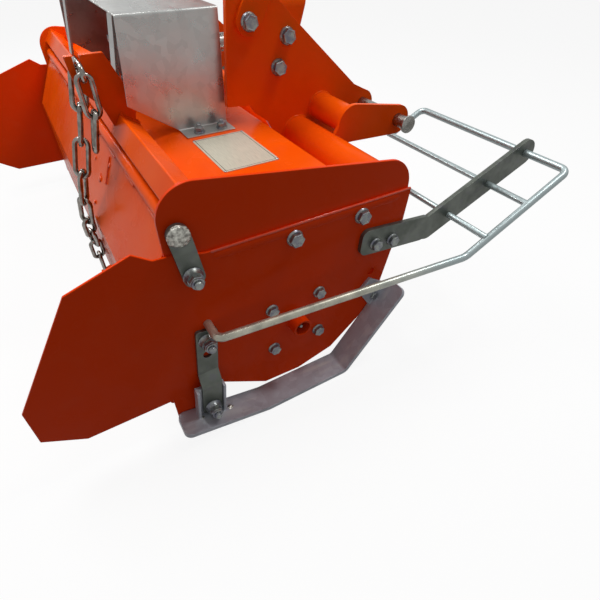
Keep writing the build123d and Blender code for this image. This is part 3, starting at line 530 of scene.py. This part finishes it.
# --- stage
@step
class ROTAVATOR_OT_stage(bpy.types.Operator):
    """Lays the floor, hangs the lamps and sets the camera"""

    bl_idname = "rotavator.stage"
    bl_label = "Stage"

    floor_half = 9.0
    floor_glow = 0.9  # share of the floor's white that shines by itself where it is seen
    gloss_share = 0.5  # of the white surround's strength, in gloss
    # One row a lamp: its name, place and width.
    lamps = (
        ("key", (-0.45, 0.35, 2.3), 1.1),
        ("side", (-0.15, 2.4, 1.6), 0.35),
        ("glint", (1.0, -0.6, 2.2), 0.4),
    )
    camera_place = (-0.3131, -0.998, 0.6626)
    camera_turn = (48.074, 0.024, -30.815)  # degrees about X, Y and Z

    def seen(self, tree):
        """1 for what the camera sees itself or through glass, a share in gloss, otherwise 0."""
        rays = add_node(tree, "LightPath").outputs
        inputs = {0: rays["Is Glossy Ray"], 1: self.gloss_share, 2: rays["Is Camera Ray"]}
        either = add_node(tree, "Math", inputs, operation="MULTIPLY_ADD")
        inputs = {0: either, 1: rays["Is Transmission Ray"]}
        return add_node(tree, "Math", inputs, operation="ADD", use_clamp=True)

    def floor_material(self):
        """Pale matt board: white where it is looked at, and a plain grey bounce otherwise."""
        coat = Coat("pale matt board")
        tree, seen, grain = coat.tree, self.seen(coat.tree), coat.pattern(60, 2)
        inputs = {MIX_FACTOR: grain, MIX_FIRST: WHITE, MIX_SECOND: linear("#FBFBFA")}
        white = add_node(tree, "Mix", inputs, data_type="RGBA")
        inputs = {MIX_FACTOR: seen, MIX_FIRST: linear("#7A7876"), MIX_SECOND: white}
        colour = add_node(tree, "Mix", inputs, data_type="RGBA")
        matt = add_node(tree, "BsdfDiffuse", {"Color": colour})
        glow = add_node(tree, "Emission", {"Color": WHITE})
        share = add_node(tree, "Math", {0: seen, 1: self.floor_glow}, operation="MULTIPLY")
        mix = add_node(tree, "MixShader", {0: share, 1: matt, 2: glow})
        add_node(tree, "OutputMaterial", {"Surface": mix})
        return coat.material

    def execute(self, context):
        scene, stage = context.scene, context.scene.rotavator_stage
        form = bmesh.new()
        bmesh.ops.create_grid(form, x_segments=1, y_segments=1, size=self.floor_half)
        bmesh.ops.translate(form, vec=(0, 0, CAD_BOX[0][2]), verts=form.verts)
        mesh = bpy.data.meshes.new("floor")
        form.to_mesh(mesh)
        form.free()
        mesh.materials.append(self.floor_material())
        placed("floor", mesh)

        # Soft square lamps that point at the rotor.
        for name, place, size in self.lamps:
            light = bpy.data.lights.new(f"{name} lamp", "AREA")
            light.energy, light.size = getattr(stage, f"{name}_power"), size
            lamp = placed(light.name, light)
            lamp.location = place
            lamp.rotation_euler = (Vector(place) - ROTOR_AXIS).to_track_quat("Z", "Y").to_euler()

        scene.world = bpy.data.worlds.new("studio")
        scene.world.use_nodes = True
        tree = scene.world.node_tree
        tree.nodes.clear()
        inputs = {"Value": self.seen(tree), "To Min": stage.sky, "To Max": 1.0}
        strength = add_node(tree, "MapRange", inputs)
        sky = add_node(tree, "Background", {"Color": WHITE, "Strength": strength})
        add_node(tree, "OutputWorld", {"Surface": sky})

        lens = bpy.data.cameras.new("camera")
        lens.lens, lens.sensor_width = stage.focal_length, 36
        scene.camera = placed("camera", lens)
        scene.camera.location = self.camera_place
        scene.camera.rotation_euler = [radians(angle) for angle in self.camera_turn]
        scene.view_settings.view_transform = "Standard"
        return {"FINISHED"}


# --- CAD pieces
@step
class ROTAVATOR_OT_housing(bpy.types.Operator):
    """Coats the end plates, side shields, deck and cross tubes"""

    bl_idname = "rotavator.housing"
    bl_label = "Housing"

    def execute(self, context):
        rounded(both("end_plate", "side_shield"), "plate_edge")
        rounded(["deck", "front_tube", "chain_post"])
        rounded(["rear_tube"], "tube_edge")
        return {"FINISHED"}


@step
class ROTAVATOR_OT_tail_board(bpy.types.Operator):
    """Coats the hinged tail board, its hinge tube and pins, and the chain's lug"""

    bl_idname = "rotavator.tail_board"
    bl_label = "Tail board"

    def execute(self, context):
        rounded(["tail_board", "tail_hinge_tube", "chain_lug", *both("hinge_pin")])
        return {"FINISHED"}


@step
class ROTAVATOR_OT_hitch(bpy.types.Operator):
    """Coats the lower hitch and the mast"""

    bl_idname = "rotavator.hitch"
    bl_label = "Hitch and mast"

    def execute(self, context):
        rounded(both("hitch_plate", "hitch_tube", "hitch_pin"))
        rounded(["mast_spacer", *both("mast_plate", "mast_upright", "mast_brace")])
        return {"FINISHED"}


@step
class ROTAVATOR_OT_drive(bpy.types.Operator):
    """Finishes the gearbox, its guard, the cross drive and the chain case"""

    bl_idname = "rotavator.drive"
    bl_label = "Drive"

    def execute(self, context):
        rounded(["drive_tube", "chain_case", "pto_shaft", "gearbox_guard", "guard_stays"])
        rounded(["gearbox"], "cast_edge")
        return {"FINISHED"}


@step
class ROTAVATOR_OT_rotor(bpy.types.Operator):
    """Finishes the rotor, its tines and its bearings"""

    bl_idname = "rotavator.rotor"
    bl_label = "Rotor"

    def execute(self, context):
        rounded(["rotor_shaft", *both("rotor_bearing")])
        rounded(["tines"], "forged_edge")
        return {"FINISHED"}


@step
class ROTAVATOR_OT_skids(bpy.types.Operator):
    """Finishes the skids and the straps that carry them"""

    bl_idname = "rotavator.skids"
    bl_label = "Skids"

    def execute(self, context):
        rounded(both("skid", "skid_strap"))
        return {"FINISHED"}


@step
class ROTAVATOR_OT_guards(bpy.types.Operator):
    """Finishes the arms and the bent rods of the front guards"""

    bl_idname = "rotavator.guards"
    bl_label = "Front guards"

    def execute(self, context):
        rounded(both("guard_arm"))
        rounded(both("guard_loop"), smooth_angle=60)
        return {"FINISHED"}


# --- name plate
@step
class ROTAVATOR_OT_name_plate(bpy.types.Operator):
    """Makes the blank name plate with its engraved border and four rivets"""

    bl_idname = "rotavator.name_plate"
    bl_label = "Name plate"

    corner = 0.003
    margin = 0.0045  # from the edge to the engraved line
    line = 0.0014
    rivet_inset = 0.0025
    rivet = ((-0.2, 2.2), (0.4, 2.1), (0.9, 1.5), (1.1, 0.6))

    def execute(self, context):
        low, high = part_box("name_plate")
        form = bmesh.new()
        place = Matrix.LocRotScale((low + high) / 2, None, high - low)
        bmesh.ops.create_cube(form, size=1, matrix=place)
        top = max(form.faces, key=lambda face: face.calc_center_median().z)
        corners = [edge for edge in form.edges if edge.calc_length() < self.corner]
        bmesh.ops.inset_region(form, faces=[top], thickness=self.margin)
        for engraved in bmesh.ops.inset_region(form, faces=[top], thickness=self.line)["faces"]:
            engraved.material_index = 1
        bmesh.ops.bevel(
            form, geom=corners, affect="EDGES", offset=self.corner, segments=5,
            profile=0.5, material=-1,
        )
        finished_piece(
            form, "name_plate_finish", "frame", "plate_aluminium",
            ["plate_aluminium", "engraving"], replaced=["name_plate"],
        )

        form = bmesh.new()
        inset = self.rivet_inset
        for x in (low.x + inset, high.x - inset):
            for y in (low.y + inset, high.y - inset):
                turned(form, seat(Vector((x, y, high.z)), UP), 16, self.rivet)
        finished_piece(form, "name_plate_rivets", "frame", "plate_aluminium", ["fastener"])
        return {"FINISHED"}


# --- fasteners
# Rings of (height, radius) in millimetres. A hexagon's radius is measured over its corners.
FLANGE_14 = ((0, 13.4), (1.4, 13.6), (2.2, 13.2), (4.2, 11.8))
HEAD_14 = ((3.0, 11.9), (10.4, 11.9), (11.6, 10.8), (11.6, 9.6), (11.1, 8.8))
FLANGE_12 = ((0, 11.2), (1.2, 11.4), (1.9, 11), (3.4, 9.9))
HEAD_12 = ((2.4, 10), (8.8, 10), (9.8, 9.1), (9.8, 8.1), (9.4, 7.5))
HEAD_8 = ((0, 7.5), (4.6, 7.5), (5.3, 6.6))
HEAD_6 = ((0, 5.8), (3.6, 5.8), (4.2, 5.1))
WASHER_6 = ((0, 6.6), (0.8, 6.6))
WASHER_8 = ((0, 9.5), (1.4, 9.5), (1.6, 9.2))
NUT_8 = ((1.6, 7.5), (7.4, 7.5), (8, 6.8))
STUD_8 = ((8, 4), (9, 3.5), (9.8, 4), (10.6, 3.5), (11.4, 4), (12.2, 3.5), (13, 4), (13.6, 3.2))
SPACER = ((0, 14), (1.5, 14.2), (3, 13), (7.5, 11.6), (9.5, 11.2))
NUT_12 = ((9, 10.6), (16.6, 10.6), (17.6, 9.6))
NUT_RING_12 = ((17.6, 9.2), (19.6, 9), (20.6, 8), (20.6, 6.6), (20, 6.5))
STUD_12 = ((19, 5.9), (21, 5.3), (21.9, 5.9), (22.8, 5.3), (23.7, 5.9), (24.8, 5.4), (25, 4.6))


class Fasteners:
    """A mesh of bolts on one body, each turned at random as a spanner leaves it."""

    def __init__(self, name, body, seed):
        self.name, self.body = name, body
        self.form = bmesh.new()
        self.turns = random.Random(seed)

    def add(self, point, toward, hexagon, washer=None, rings=()):
        place = seat(point, toward, self.turns.uniform(0, pi / 3))
        if washer:
            turned(self.form, place, 28, washer)
        turned(self.form, place, 6, hexagon)
        for ring in rings:
            turned(self.form, place, 20, ring)

    def add_out(self, s, face, places, hexagon, washer=None, rings=()):
        """Bolts at places x and z of a face at s times face, which point out from the middle."""
        for x, z in places:
            self.add(spot(x, s * face, z), (0, s, 0), hexagon, washer, rings)

    def close(self, slot="zinc_plate"):
        finished_piece(self.form, self.name, self.body, slot, ["fastener"], smooth_angle=32)


@step
class ROTAVATOR_OT_side_bolts(bpy.types.Operator):
    """Sets the bolts and nuts of the side shields, straps, arms and hinge links"""

    bl_idname = "rotavator.side_bolts"
    bl_label = "Side bolts"

    # Places are x and z.
    bearing_bolts = [(x, z) for x in (-45, 45) for z in (-45, 45)]
    shield_bolts = [(-1, 169), (121, 169)]
    arm_bolts = [(150, 110), (186, 107)]
    ear_bolt = (165, -12)
    nuts = ((STRAP_Y, (-159, 42)), (STRAP_FOOT_Y, (-175, -95)), (LINK_Y, (-160, 168)))

    def execute(self, context):
        for seed, (side, s) in enumerate(SIDES, 11):
            bolts = Fasteners(f"side_bolts_{side}", "frame", seed)
            # The chain case covers the left bearing and the place of the shield's first bolt.
            covered = side == "left"
            if not covered:
                bolts.add_out(s, SHIELD_Y, self.bearing_bolts, HEAD_12, FLANGE_12)
            bolts.add_out(s, SHIELD_Y, self.shield_bolts[covered:], HEAD_14, FLANGE_14)
            bolts.add_out(s, ARM_Y, self.arm_bolts, HEAD_12, FLANGE_12)
            bolts.add_out(s, STRAP_Y, [self.ear_bolt], HEAD_8)
            for face, place in self.nuts:
                bolts.add_out(s, face, [place], NUT_12, SPACER, (NUT_RING_12, STUD_12))
            bolts.close()
        return {"FINISHED"}


@step
class ROTAVATOR_OT_frame_bolts(bpy.types.Operator):
    """Sets the bolts of the gearbox, its guard, the drive flanges, chain case and mast"""

    bl_idname = "rotavator.frame_bolts"
    bl_label = "Frame bolts"

    drive_z = 316
    drive_flange_t = 8
    gearbox_feet = [(x, y, 262) for x in (-60, 60) for y in (-86, 86)]
    guard_feet = [(x, y, 252) for x in (-40, 0) for y in (-293, 293)]
    mast_bolts = [(112, 292, 330), (130, 292, 374), (60, 300, 400), (214, 44, 640)]
    case_top, case_foot = 81, 95  # radius of the cover's bolt row at either end
    case_plug = (62, 60)

    def case_row(self):
        """Places round the chain case's cover: two half rings and straight sides."""
        top, foot, drive_z = self.case_top, self.case_foot, self.drive_z
        half_ring = [(cos(i * pi / 6), sin(i * pi / 6)) for i in range(7)]
        row = [(top * x, drive_z + top * z) for x, z in half_ring]
        row += [(-foot * x, -foot * z) for x, z in half_ring]
        for share in (0.25, 0.5, 0.75):
            x = top + share * (foot - top)
            row += [(x, drive_z * (1 - share)), (-x, drive_z * (1 - share))]
        return row

    def execute(self, context):
        bolts = Fasteners("drive_bolts", "frame", 21)
        z, flange_t = self.drive_z, self.drive_flange_t
        # One row a ring: its middle, the way it faces, its radius, its number of bolts and head.
        for centre, toward, radius, count, head in (
            ((0, reach("gearbox", LOW), z), (0, -1, 0), 44, 6, HEAD_8),
            ((reach("gearbox", LOW, X), 0, z), (-1, 0, 0), 44, 6, HEAD_8),
            ((0, reach("drive_tube") - flange_t, z), (0, -1, 0), 56, 8, HEAD_8),
            ((0, reach("drive_tube", LOW) + flange_t, z), (0, 1, 0), 45, 6, HEAD_6),
        ):
            for point in points_round(spot(*centre), toward, radius, count, first=0.5):
                bolts.add(point, toward, head)
        for foot in self.gearbox_feet:
            bolts.add(spot(*foot), UP, HEAD_12)
        bolts.close()

        bolts = Fasteners("guard_bolts", "frame", 22)
        for foot in self.guard_feet:
            bolts.add(spot(*foot), UP, NUT_8, WASHER_8, (STUD_8,))
        bolts.close("galvanised_sheet")

        bolts = Fasteners("chain_case_bolts", "frame", 23)
        bolts.add_out(1, reach("chain_case"), self.case_row(), HEAD_6, WASHER_6)
        bolts.add_out(1, reach("chain_case"), [self.case_plug], HEAD_8, WASHER_8)
        bolts.close()

        bolts = Fasteners("mast_bolts", "frame", 24)
        for x, face, z in self.mast_bolts:
            for s in (-1, 1):
                bolts.add_out(s, face, [(x, z)], HEAD_14, FLANGE_14)
        bolts.close()
        return {"FINISHED"}


@step
class ROTAVATOR_OT_tine_bolts(bpy.types.Operator):
    """Sets two bolts through the shank of each tine"""

    bl_idname = "rotavator.tine_bolts"
    bl_label = "Tine bolts"

    flange_row = (-425, -255, -85, 85, 255, 425)
    flange_turn = 15  # degrees from one flange to the next
    flange_half = 4  # half its thickness
    tines = 4  # on each flange
    tine_thickness = 7
    radii = (50, 65)

    def execute(self, context):
        bolts = Fasteners("tine_bolts", "rotor", 31)
        for i, flange_y in enumerate(self.flange_row):
            for k in range(self.tines):
                s = 1 if k % 2 else -1
                angle = radians(k * 360 / self.tines + i * self.flange_turn)
                head = flange_y + s * (self.flange_half + self.tine_thickness)
                nut = flange_y - s * self.flange_half
                for radius in self.radii:
                    x, z = radius * cos(angle), radius * sin(angle)
                    bolts.add(spot(x, head, z), (0, s, 0), HEAD_8)
                    bolts.add(spot(x, nut, z), (0, -s, 0), HEAD_8)
        bolts.close("forged_steel")
        return {"FINISHED"}


@step
class ROTAVATOR_OT_grease_nipples(bpy.types.Operator):
    """Sets the grease nipples of the rotor's bearing tube and the chain case"""

    bl_idname = "rotavator.grease_nipples"
    bl_label = "Grease nipples"

    cup = ((0, 12.6), (4, 12.6), (4.6, 11.8), (4.6, 9), (3, 8.6), (3, 7))
    cup_out = 3  # from the shield's face to the foot of the cup in the tube's bore
    nipple = (
        (0, 5.5), (4, 5.5), (4.4, 3.2), (9, 3.2), (9.8, 2.2), (11.4, 3.1), (13, 3.1), (14.2, 1.6),
    )
    nipple_out = 5
    case_place = (-40, 20)
    case_sink = 0.5

    def execute(self, context):
        right, left = (0, -1, 0), (0, 1, 0)
        form = bmesh.new()
        turned(form, seat(spot(0, -SHIELD_Y - self.cup_out, 0), right), 24, self.cup)
        finished_piece(form, "grease_tube_plug", "frame", "forged_steel")

        form = bmesh.new()
        turned(form, seat(spot(0, -SHIELD_Y - self.nipple_out, 0), right), 20, self.nipple)
        x, z = self.case_place
        face = reach("chain_case") - self.case_sink
        turned(form, seat(spot(x, face, z), left), 20, self.nipple)
        finished_piece(form, "grease_nipples", "frame", "bright_steel", ["fastener"])
        return {"FINISHED"}


# --- welds
class Beads:
    """Weld beads as one curve: a row of ripples along each seam, a little uneven."""

    def __init__(self, name, body, finish_name, seed):
        sizes = bpy.context.scene.rotavator_sizes
        self.name, self.body, self.finish_name = name, body, finish_name
        self.pitch = sizes.weld_pitch
        self.curve = bpy.data.curves.new(name, "CURVE")
        self.curve.dimensions = "3D"
        self.curve.bevel_depth = sizes.weld_width / 2
        self.curve.bevel_resolution = 1
        self.curve.use_fill_caps = True
        self.ripple = random.Random(seed)

    def lay(self, points, width, cyclic=False):
        """One bead through points; width is its share of a full bead."""
        spline = self.curve.splines.new("POLY")
        spline.points.add(len(points) - 1)
        for i, (point, target) in enumerate(zip(points, spline.points)):
            target.co = (*point, 1)
            target.radius = width * (0.86 + 0.2 * (i % 2) + self.ripple.uniform(-0.08, 0.08))
        spline.use_cyclic_u = cyclic

    def seam(self, start, end, width=1.0):
        """A straight bead from one point to another."""
        start, end = spot(*start), spot(*end)
        steps = max(2, round((end - start).length / self.pitch))
        self.lay([start.lerp(end, i / steps) for i in range(steps + 1)], width)

    def ring(self, centre, radius, width=1.0):
        """A bead round a lateral tube, radius in millimetres."""
        steps = 2 * round(pi * radius * MM / self.pitch)
        self.lay(points_round(spot(*centre), (0, 1, 0), radius, steps), width, cyclic=True)

    def close(self):
        """Turns the curve into a piece."""
        piece = placed(self.name, self.curve)
        settled = piece.evaluated_get(bpy.context.evaluated_depsgraph_get())
        mesh = bpy.data.meshes.new_from_object(settled)
        bpy.data.objects.remove(piece)
        form = bmesh.new()
        form.from_mesh(mesh)
        bmesh.ops.remove_doubles(form, verts=form.verts, dist=MERGE)
        finished_piece(
            form, self.name, self.body, "orange_enamel", [self.finish_name], smooth_angle=70
        )


@step
class ROTAVATOR_OT_welds(bpy.types.Operator):
    """Lays the weld beads of the housing, hitch, tail board and chain post"""

    bl_idname = "rotavator.welds"
    bl_label = "Welds"

    sink = 0.5  # of a bead's middle in the face that it lies on
    # Places are x and z, and faces are y.
    front_tube, front_r = (149, 214), 30.2
    grease_r = 18.2
    # One row a ring on a plate of the mast or hitch: x, y, z and radius.
    plate_rings = (
        (149, 282, 214, 30.2), (149, 292, 214, 30.2), (199, 292, 254, 24.2), (199, 391, 254, 24.2),
    )
    # A seam runs from one place to another.
    tube_seams = (
        ((-150, 285), (-121.3, 264.9)), ((-121.3, 264.9), (-141.4, 236.2)),
        ((-170.1, 256.3), (-150, 285)),
    )
    deck_seam = ((-78, 251), (73, 251))
    stitches, stitch_half = 9, 20
    stitch_line = (-176, 223)
    ridge_seam = ((-181, -219, 213), (-202, -237, 175))
    post_faces = (-243, -233)
    post_seam = ((-149, 285), (-122, 266))

    def execute(self, context):
        beads = Beads("housing_welds", "frame", "orange_enamel", 41)
        for s in (-1, 1):
            inside = s * (PLATE_IN_Y - self.sink)
            x, z = self.front_tube
            beads.ring((x, inside, z), self.front_r)
            for seam in self.tube_seams:
                beads.seam(*((x, inside, z) for x, z in seam))
            for x, y, z, radius in self.plate_rings:
                beads.ring((x, s * y, z), radius, width=0.9)
            beads.seam(*((x, inside, z) for x, z in self.deck_seam), width=0.8)
        beads.ring((0, -SHIELD_Y, 0), self.grease_r, width=0.8)
        beads.close()

        beads = Beads("tail_welds", "tailgate", "edge_enamel", 42)
        x, z = self.stitch_line
        for i in range(self.stitches):
            middle = reach("tail_board") * (2 * (i + 0.5) / self.stitches - 1)
            ends = ((x, middle + s * self.stitch_half, z) for s in (-1, 1))
            beads.seam(*ends, width=0.7)
        beads.seam(*self.ridge_seam, width=0.5)
        beads.close()

        beads = Beads("post_welds", "frame", "orange_enamel", 43)
        for y in self.post_faces:
            beads.seam(*((x, y, z) for x, z in self.post_seam), width=0.8)
        beads.close()
        return {"FINISHED"}


@step
class ROTAVATOR_OT_weld_lumps(bpy.types.Operator):
    """Lays the plug welds on the hinge pins, the tacks at the skids' channels and the spatter"""

    bl_idname = "rotavator.weld_lumps"
    bl_label = "Weld lumps"

    plug_weld = (-167, 232, 15.2, 6.5)  # x, z, radius and height
    sink = 0.5  # of a plug weld in the hinge link's face
    # One row a tack: x, distance outside the shield, z, radius and height.
    channel_tacks = ((-200, 24, -113, 9, 4.5), (-196, 12, -112, 7, 4), (-149, 22, -122, 8, 4.5))
    # One row a drop of spatter on the tail board's sloping leaf: x, y, z and radius.
    spatter = (
        (-204.7, -196, 168.5, 5.5), (-201, -190, 174, 3), (-226.5, -197, 129, 4),
        (-196.1, -138, 183.9, 3.5), (-186, -228, 202, 4),
    )
    drop_flatness = 0.4  # height of a drop of spatter over its radius
    leaf_normal = (-122, 0, 68)

    def lump(self, form, lumps, place, radius, height, unevenness=0.1):
        """A half-round lump of weld whose surface swells at random."""
        dome = bmesh.ops.create_icosphere(form, subdivisions=4, radius=1)["verts"]
        for vert in dome:
            swell = lumps.uniform(-unevenness, unevenness)
            vert.co *= radius * (1 + swell * (1 + vert.co.z))
        bmesh.ops.smooth_vert(
            form, verts=dome, factor=0.5, use_axis_x=True, use_axis_y=True, use_axis_z=True
        )
        bmesh.ops.scale(form, vec=(1, 1, height / radius), verts=dome)
        bmesh.ops.transform(form, matrix=place, verts=dome)

    def execute(self, context):
        lumps = random.Random(51)
        form = bmesh.new()
        x, z, *size = self.plug_weld
        for s in (-1, 1):
            place = seat(spot(x, s * (LINK_Y - self.sink), z), (0, s, 0))
            self.lump(form, lumps, place, *size)
        finished_piece(form, "hinge_plug_welds", "frame", "zinc_plate", ["weld"], smooth_angle=60)

        form = bmesh.new()
        for s in (-1, 1):
            for x, out, z, *size in self.channel_tacks:
                place = seat(spot(x, s * (SHIELD_Y + out), z), UP)
                self.lump(form, lumps, place, *size, unevenness=0.14)
        finished_piece(form, "channel_tacks", "frame", "galvanised_skid", ["weld"], smooth_angle=60)

        form = bmesh.new()
        for *point, radius in self.spatter:
            place = seat(spot(*point), self.leaf_normal)
            self.lump(form, lumps, place, radius, self.drop_flatness * radius)
        finished_piece(
            form, "tail_board_spatter", "tailgate", "orange_enamel", ["edge_enamel"],
            smooth_angle=60,
        )
        return {"FINISHED"}


@step
class ROTAVATOR_OT_swage(bpy.types.Operator):
    """Raises the shallow swage along the top of each side shield, and rolls its upper edge"""

    bl_idname = "rotavator.swage"
    bl_label = "Shield swage"

    # Rear and front ends are x, on the right and on the left.
    swage_ends = ((-128, 196), (104, 196))
    swage_height = 181.5
    half_width = 6.0
    rise = 1.1
    taper = 14
    edge_ends = ((-130, 217), (108, 217))
    edge_height = 190.2
    edge_radius = 2.1
    edge_sink = 1.4  # of the edge's middle under the shield's face

    def strips(self, name, key, ends, height, sink, sides, rings, flatness=1.0):
        """A tapered strip along each shield; rings are distances from an end and radii."""
        form = bmesh.new()
        for s, (rear, front) in zip((-1, 1), ends):
            place = seat(spot(rear, s * (SHIELD_Y - sink), height), (1, 0, 0))
            flat = Matrix.Scale(flatness, 4, (1, 0, 0))  # this place's X axis is lateral
            far_rings = [(front - rear - along, radius) for along, radius in reversed(rings)]
            turned(form, place @ flat, sides, (*rings, *far_rings))
        finished_piece(form, name, "frame", "orange_enamel", [key], smooth_angle=60)

    def execute(self, context):
        half, taper = self.half_width, self.taper
        rings = ((0, 0.4), (taper / 3, 0.7 * half), (taper, half))
        self.strips(
            "shield_swages", "orange_enamel", self.swage_ends, self.swage_height, 0, 24, rings,
            flatness=self.rise / half,
        )
        r = self.edge_radius
        self.strips(
            "shield_edges", "edge_enamel", self.edge_ends, self.edge_height, self.edge_sink, 12,
            ((0, 0.4 * r), (r, r)),
        )
        return {"FINISHED"}


# --- chain
@step
class ROTAVATOR_OT_tail_chain(bpy.types.Operator):
    """Makes the long-link chain that holds the tail board"""

    bl_idname = "rotavator.tail_chain"
    bl_label = "Tail chain"

    bend_r = 10.0  # of the wire's middle, at the ends of a link
    straight = 40.0  # between the middles of the two bends
    pitch = 51.2
    bend_steps = 9
    post_slot = (-188, -238, 352.3)  # middle of the link that lies in the post's slot
    hung = 20.5  # from there to where a strand starts, to the left or right
    held_drop = 4.9  # from the top link's middle down to the start of the held strand
    loose_drop = 5.9
    # One row a link: how far it leans rearward and to the left, as a share of its length.
    held_leans = (
        (0.27, -0.12), (0.29, -0.16), (0.29, -0.1), (0.22, 0.12), (0.12, 0.38),
        (0.0, 0.57), (0.0, 0.6), (0.0, 0.44), (0.0, 0.2),
    )
    loose_leans = ((0.0, 0.0), (0.26, 0.0))
    held_turn = radians(101.25)
    loose_turn = radians(90)
    slack_links = 3  # held links between the post and the hinge's level

    def link(self, form, middle, along, across):
        """A welded link of round wire: two half turns joined by straight legs."""
        sizes = bpy.context.scene.rotavator_sizes
        half = self.straight / 2
        earlier = set(form.verts)
        wire = bmesh.ops.create_circle(
            form, segments=sizes.wire_sides, radius=sizes.wire / MM / 2,
            matrix=Matrix.Translation((half, -self.bend_r, 0)) @ Matrix.Rotation(pi / 2, 4, "Y"),
        )["verts"]
        last = [*wire, *{edge for vert in wire for edge in vert.link_edges}]
        for end in (half, -half):
            last = bmesh.ops.spin(
                form, geom=last, cent=(end, 0, 0), axis=UP, angle=pi, steps=self.bend_steps
            )["geom_last"]
            edges = [g for g in last if isinstance(g, bmesh.types.BMEdge)]
            last = bmesh.ops.extrude_edge_only(form, edges=edges)["geom"]
            leg = [g for g in last if isinstance(g, bmesh.types.BMVert)]
            bmesh.ops.translate(form, vec=(-2 * end, 0, 0), verts=leg)
            last = leg + [
                g for g in last if isinstance(g, bmesh.types.BMEdge) and set(g.verts) <= set(leg)
            ]
        made = [vert for vert in form.verts if vert not in earlier]
        turn = Matrix((along, across, along.cross(across))).transposed().to_4x4()
        place = Matrix.Translation(middle) @ turn @ Matrix.Scale(MM, 4)
        bmesh.ops.transform(form, matrix=place, verts=made)
        bmesh.ops.remove_doubles(form, verts=made, dist=MERGE)

    def strand(self, form, start, leans, turn):
        """Hangs links one in the next from a start point; returns where each begins and ends."""
        ends = [start]
        for i, (rearward, leftward) in enumerate(leans):
            along = Vector((-rearward, leftward, -sqrt(1 - rearward**2 - leftward**2)))
            square = along.cross(Vector((0, 1, 0))).normalized()
            across = Matrix.Rotation(i * turn, 3, along) @ square
            self.link(form, ends[-1] + along * self.pitch * MM / 2, along, across)
            ends.append(ends[-1] + along * self.pitch * MM)
        return ends

    def execute(self, context):
        x, y, z = self.post_slot
        form = bmesh.new()
        start = spot(x, y + self.hung, z - self.held_drop)
        ends = self.strand(form, start, self.held_leans, self.held_turn)
        chain = finished_piece(
            form, "tail_chain_finish", None, "chain_zinc", smooth_angle=60, replaced=["tail_chain"]
        )
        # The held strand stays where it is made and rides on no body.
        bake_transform(chain)

        form = bmesh.new()
        self.link(form, spot(x, y, z), Vector((0, 1, 0)), Vector(UP))
        start = spot(x, y - self.hung, z - self.loose_drop)
        self.strand(form, start, self.loose_leans, self.loose_turn)
        finished_piece(form, "tail_chain_loose_end", "frame", "chain_zinc", smooth_angle=60)
        return {"FINISHED"}


# --- panel and registration
GROUPS = (
    ("rotavator_sizes", RotavatorSizes),
    ("rotavator_colours", RotavatorColours),
    ("rotavator_stage", RotavatorStage),
)


class ROTAVATOR_PT_panel(bpy.types.Panel):
    """Lists the steps that dress the rotavator, and its sizes and colours"""

    bl_idname = "ROTAVATOR_PT_panel"
    bl_label = "Rotavator"
    bl_space_type = "VIEW_3D"
    bl_region_type = "UI"
    bl_category = "Rotavator"

    def draw(self, context):
        for operator in STEPS:
            self.layout.operator(operator.bl_idname)
        for name, group in GROUPS:
            box = self.layout.box()
            for value in group.__annotations__:
                box.prop(getattr(context.scene, name), value)


def register():
    for name, group in GROUPS:
        bpy.utils.register_class(group)
        setattr(bpy.types.Scene, name, PointerProperty(type=group))
    for shown in (*STEPS, ROTAVATOR_PT_panel):
        bpy.utils.register_class(shown)


def unregister():
    for shown in (ROTAVATOR_PT_panel, *reversed(STEPS)):
        bpy.utils.unregister_class(shown)
    for name, group in reversed(GROUPS):
        delattr(bpy.types.Scene, name)
        bpy.utils.unregister_class(group)


def main():
    register()
    for operator in STEPS:
        getattr(bpy.ops.rotavator, operator.bl_idname.split(".")[1])()


if __name__ == "__main__":
    main()
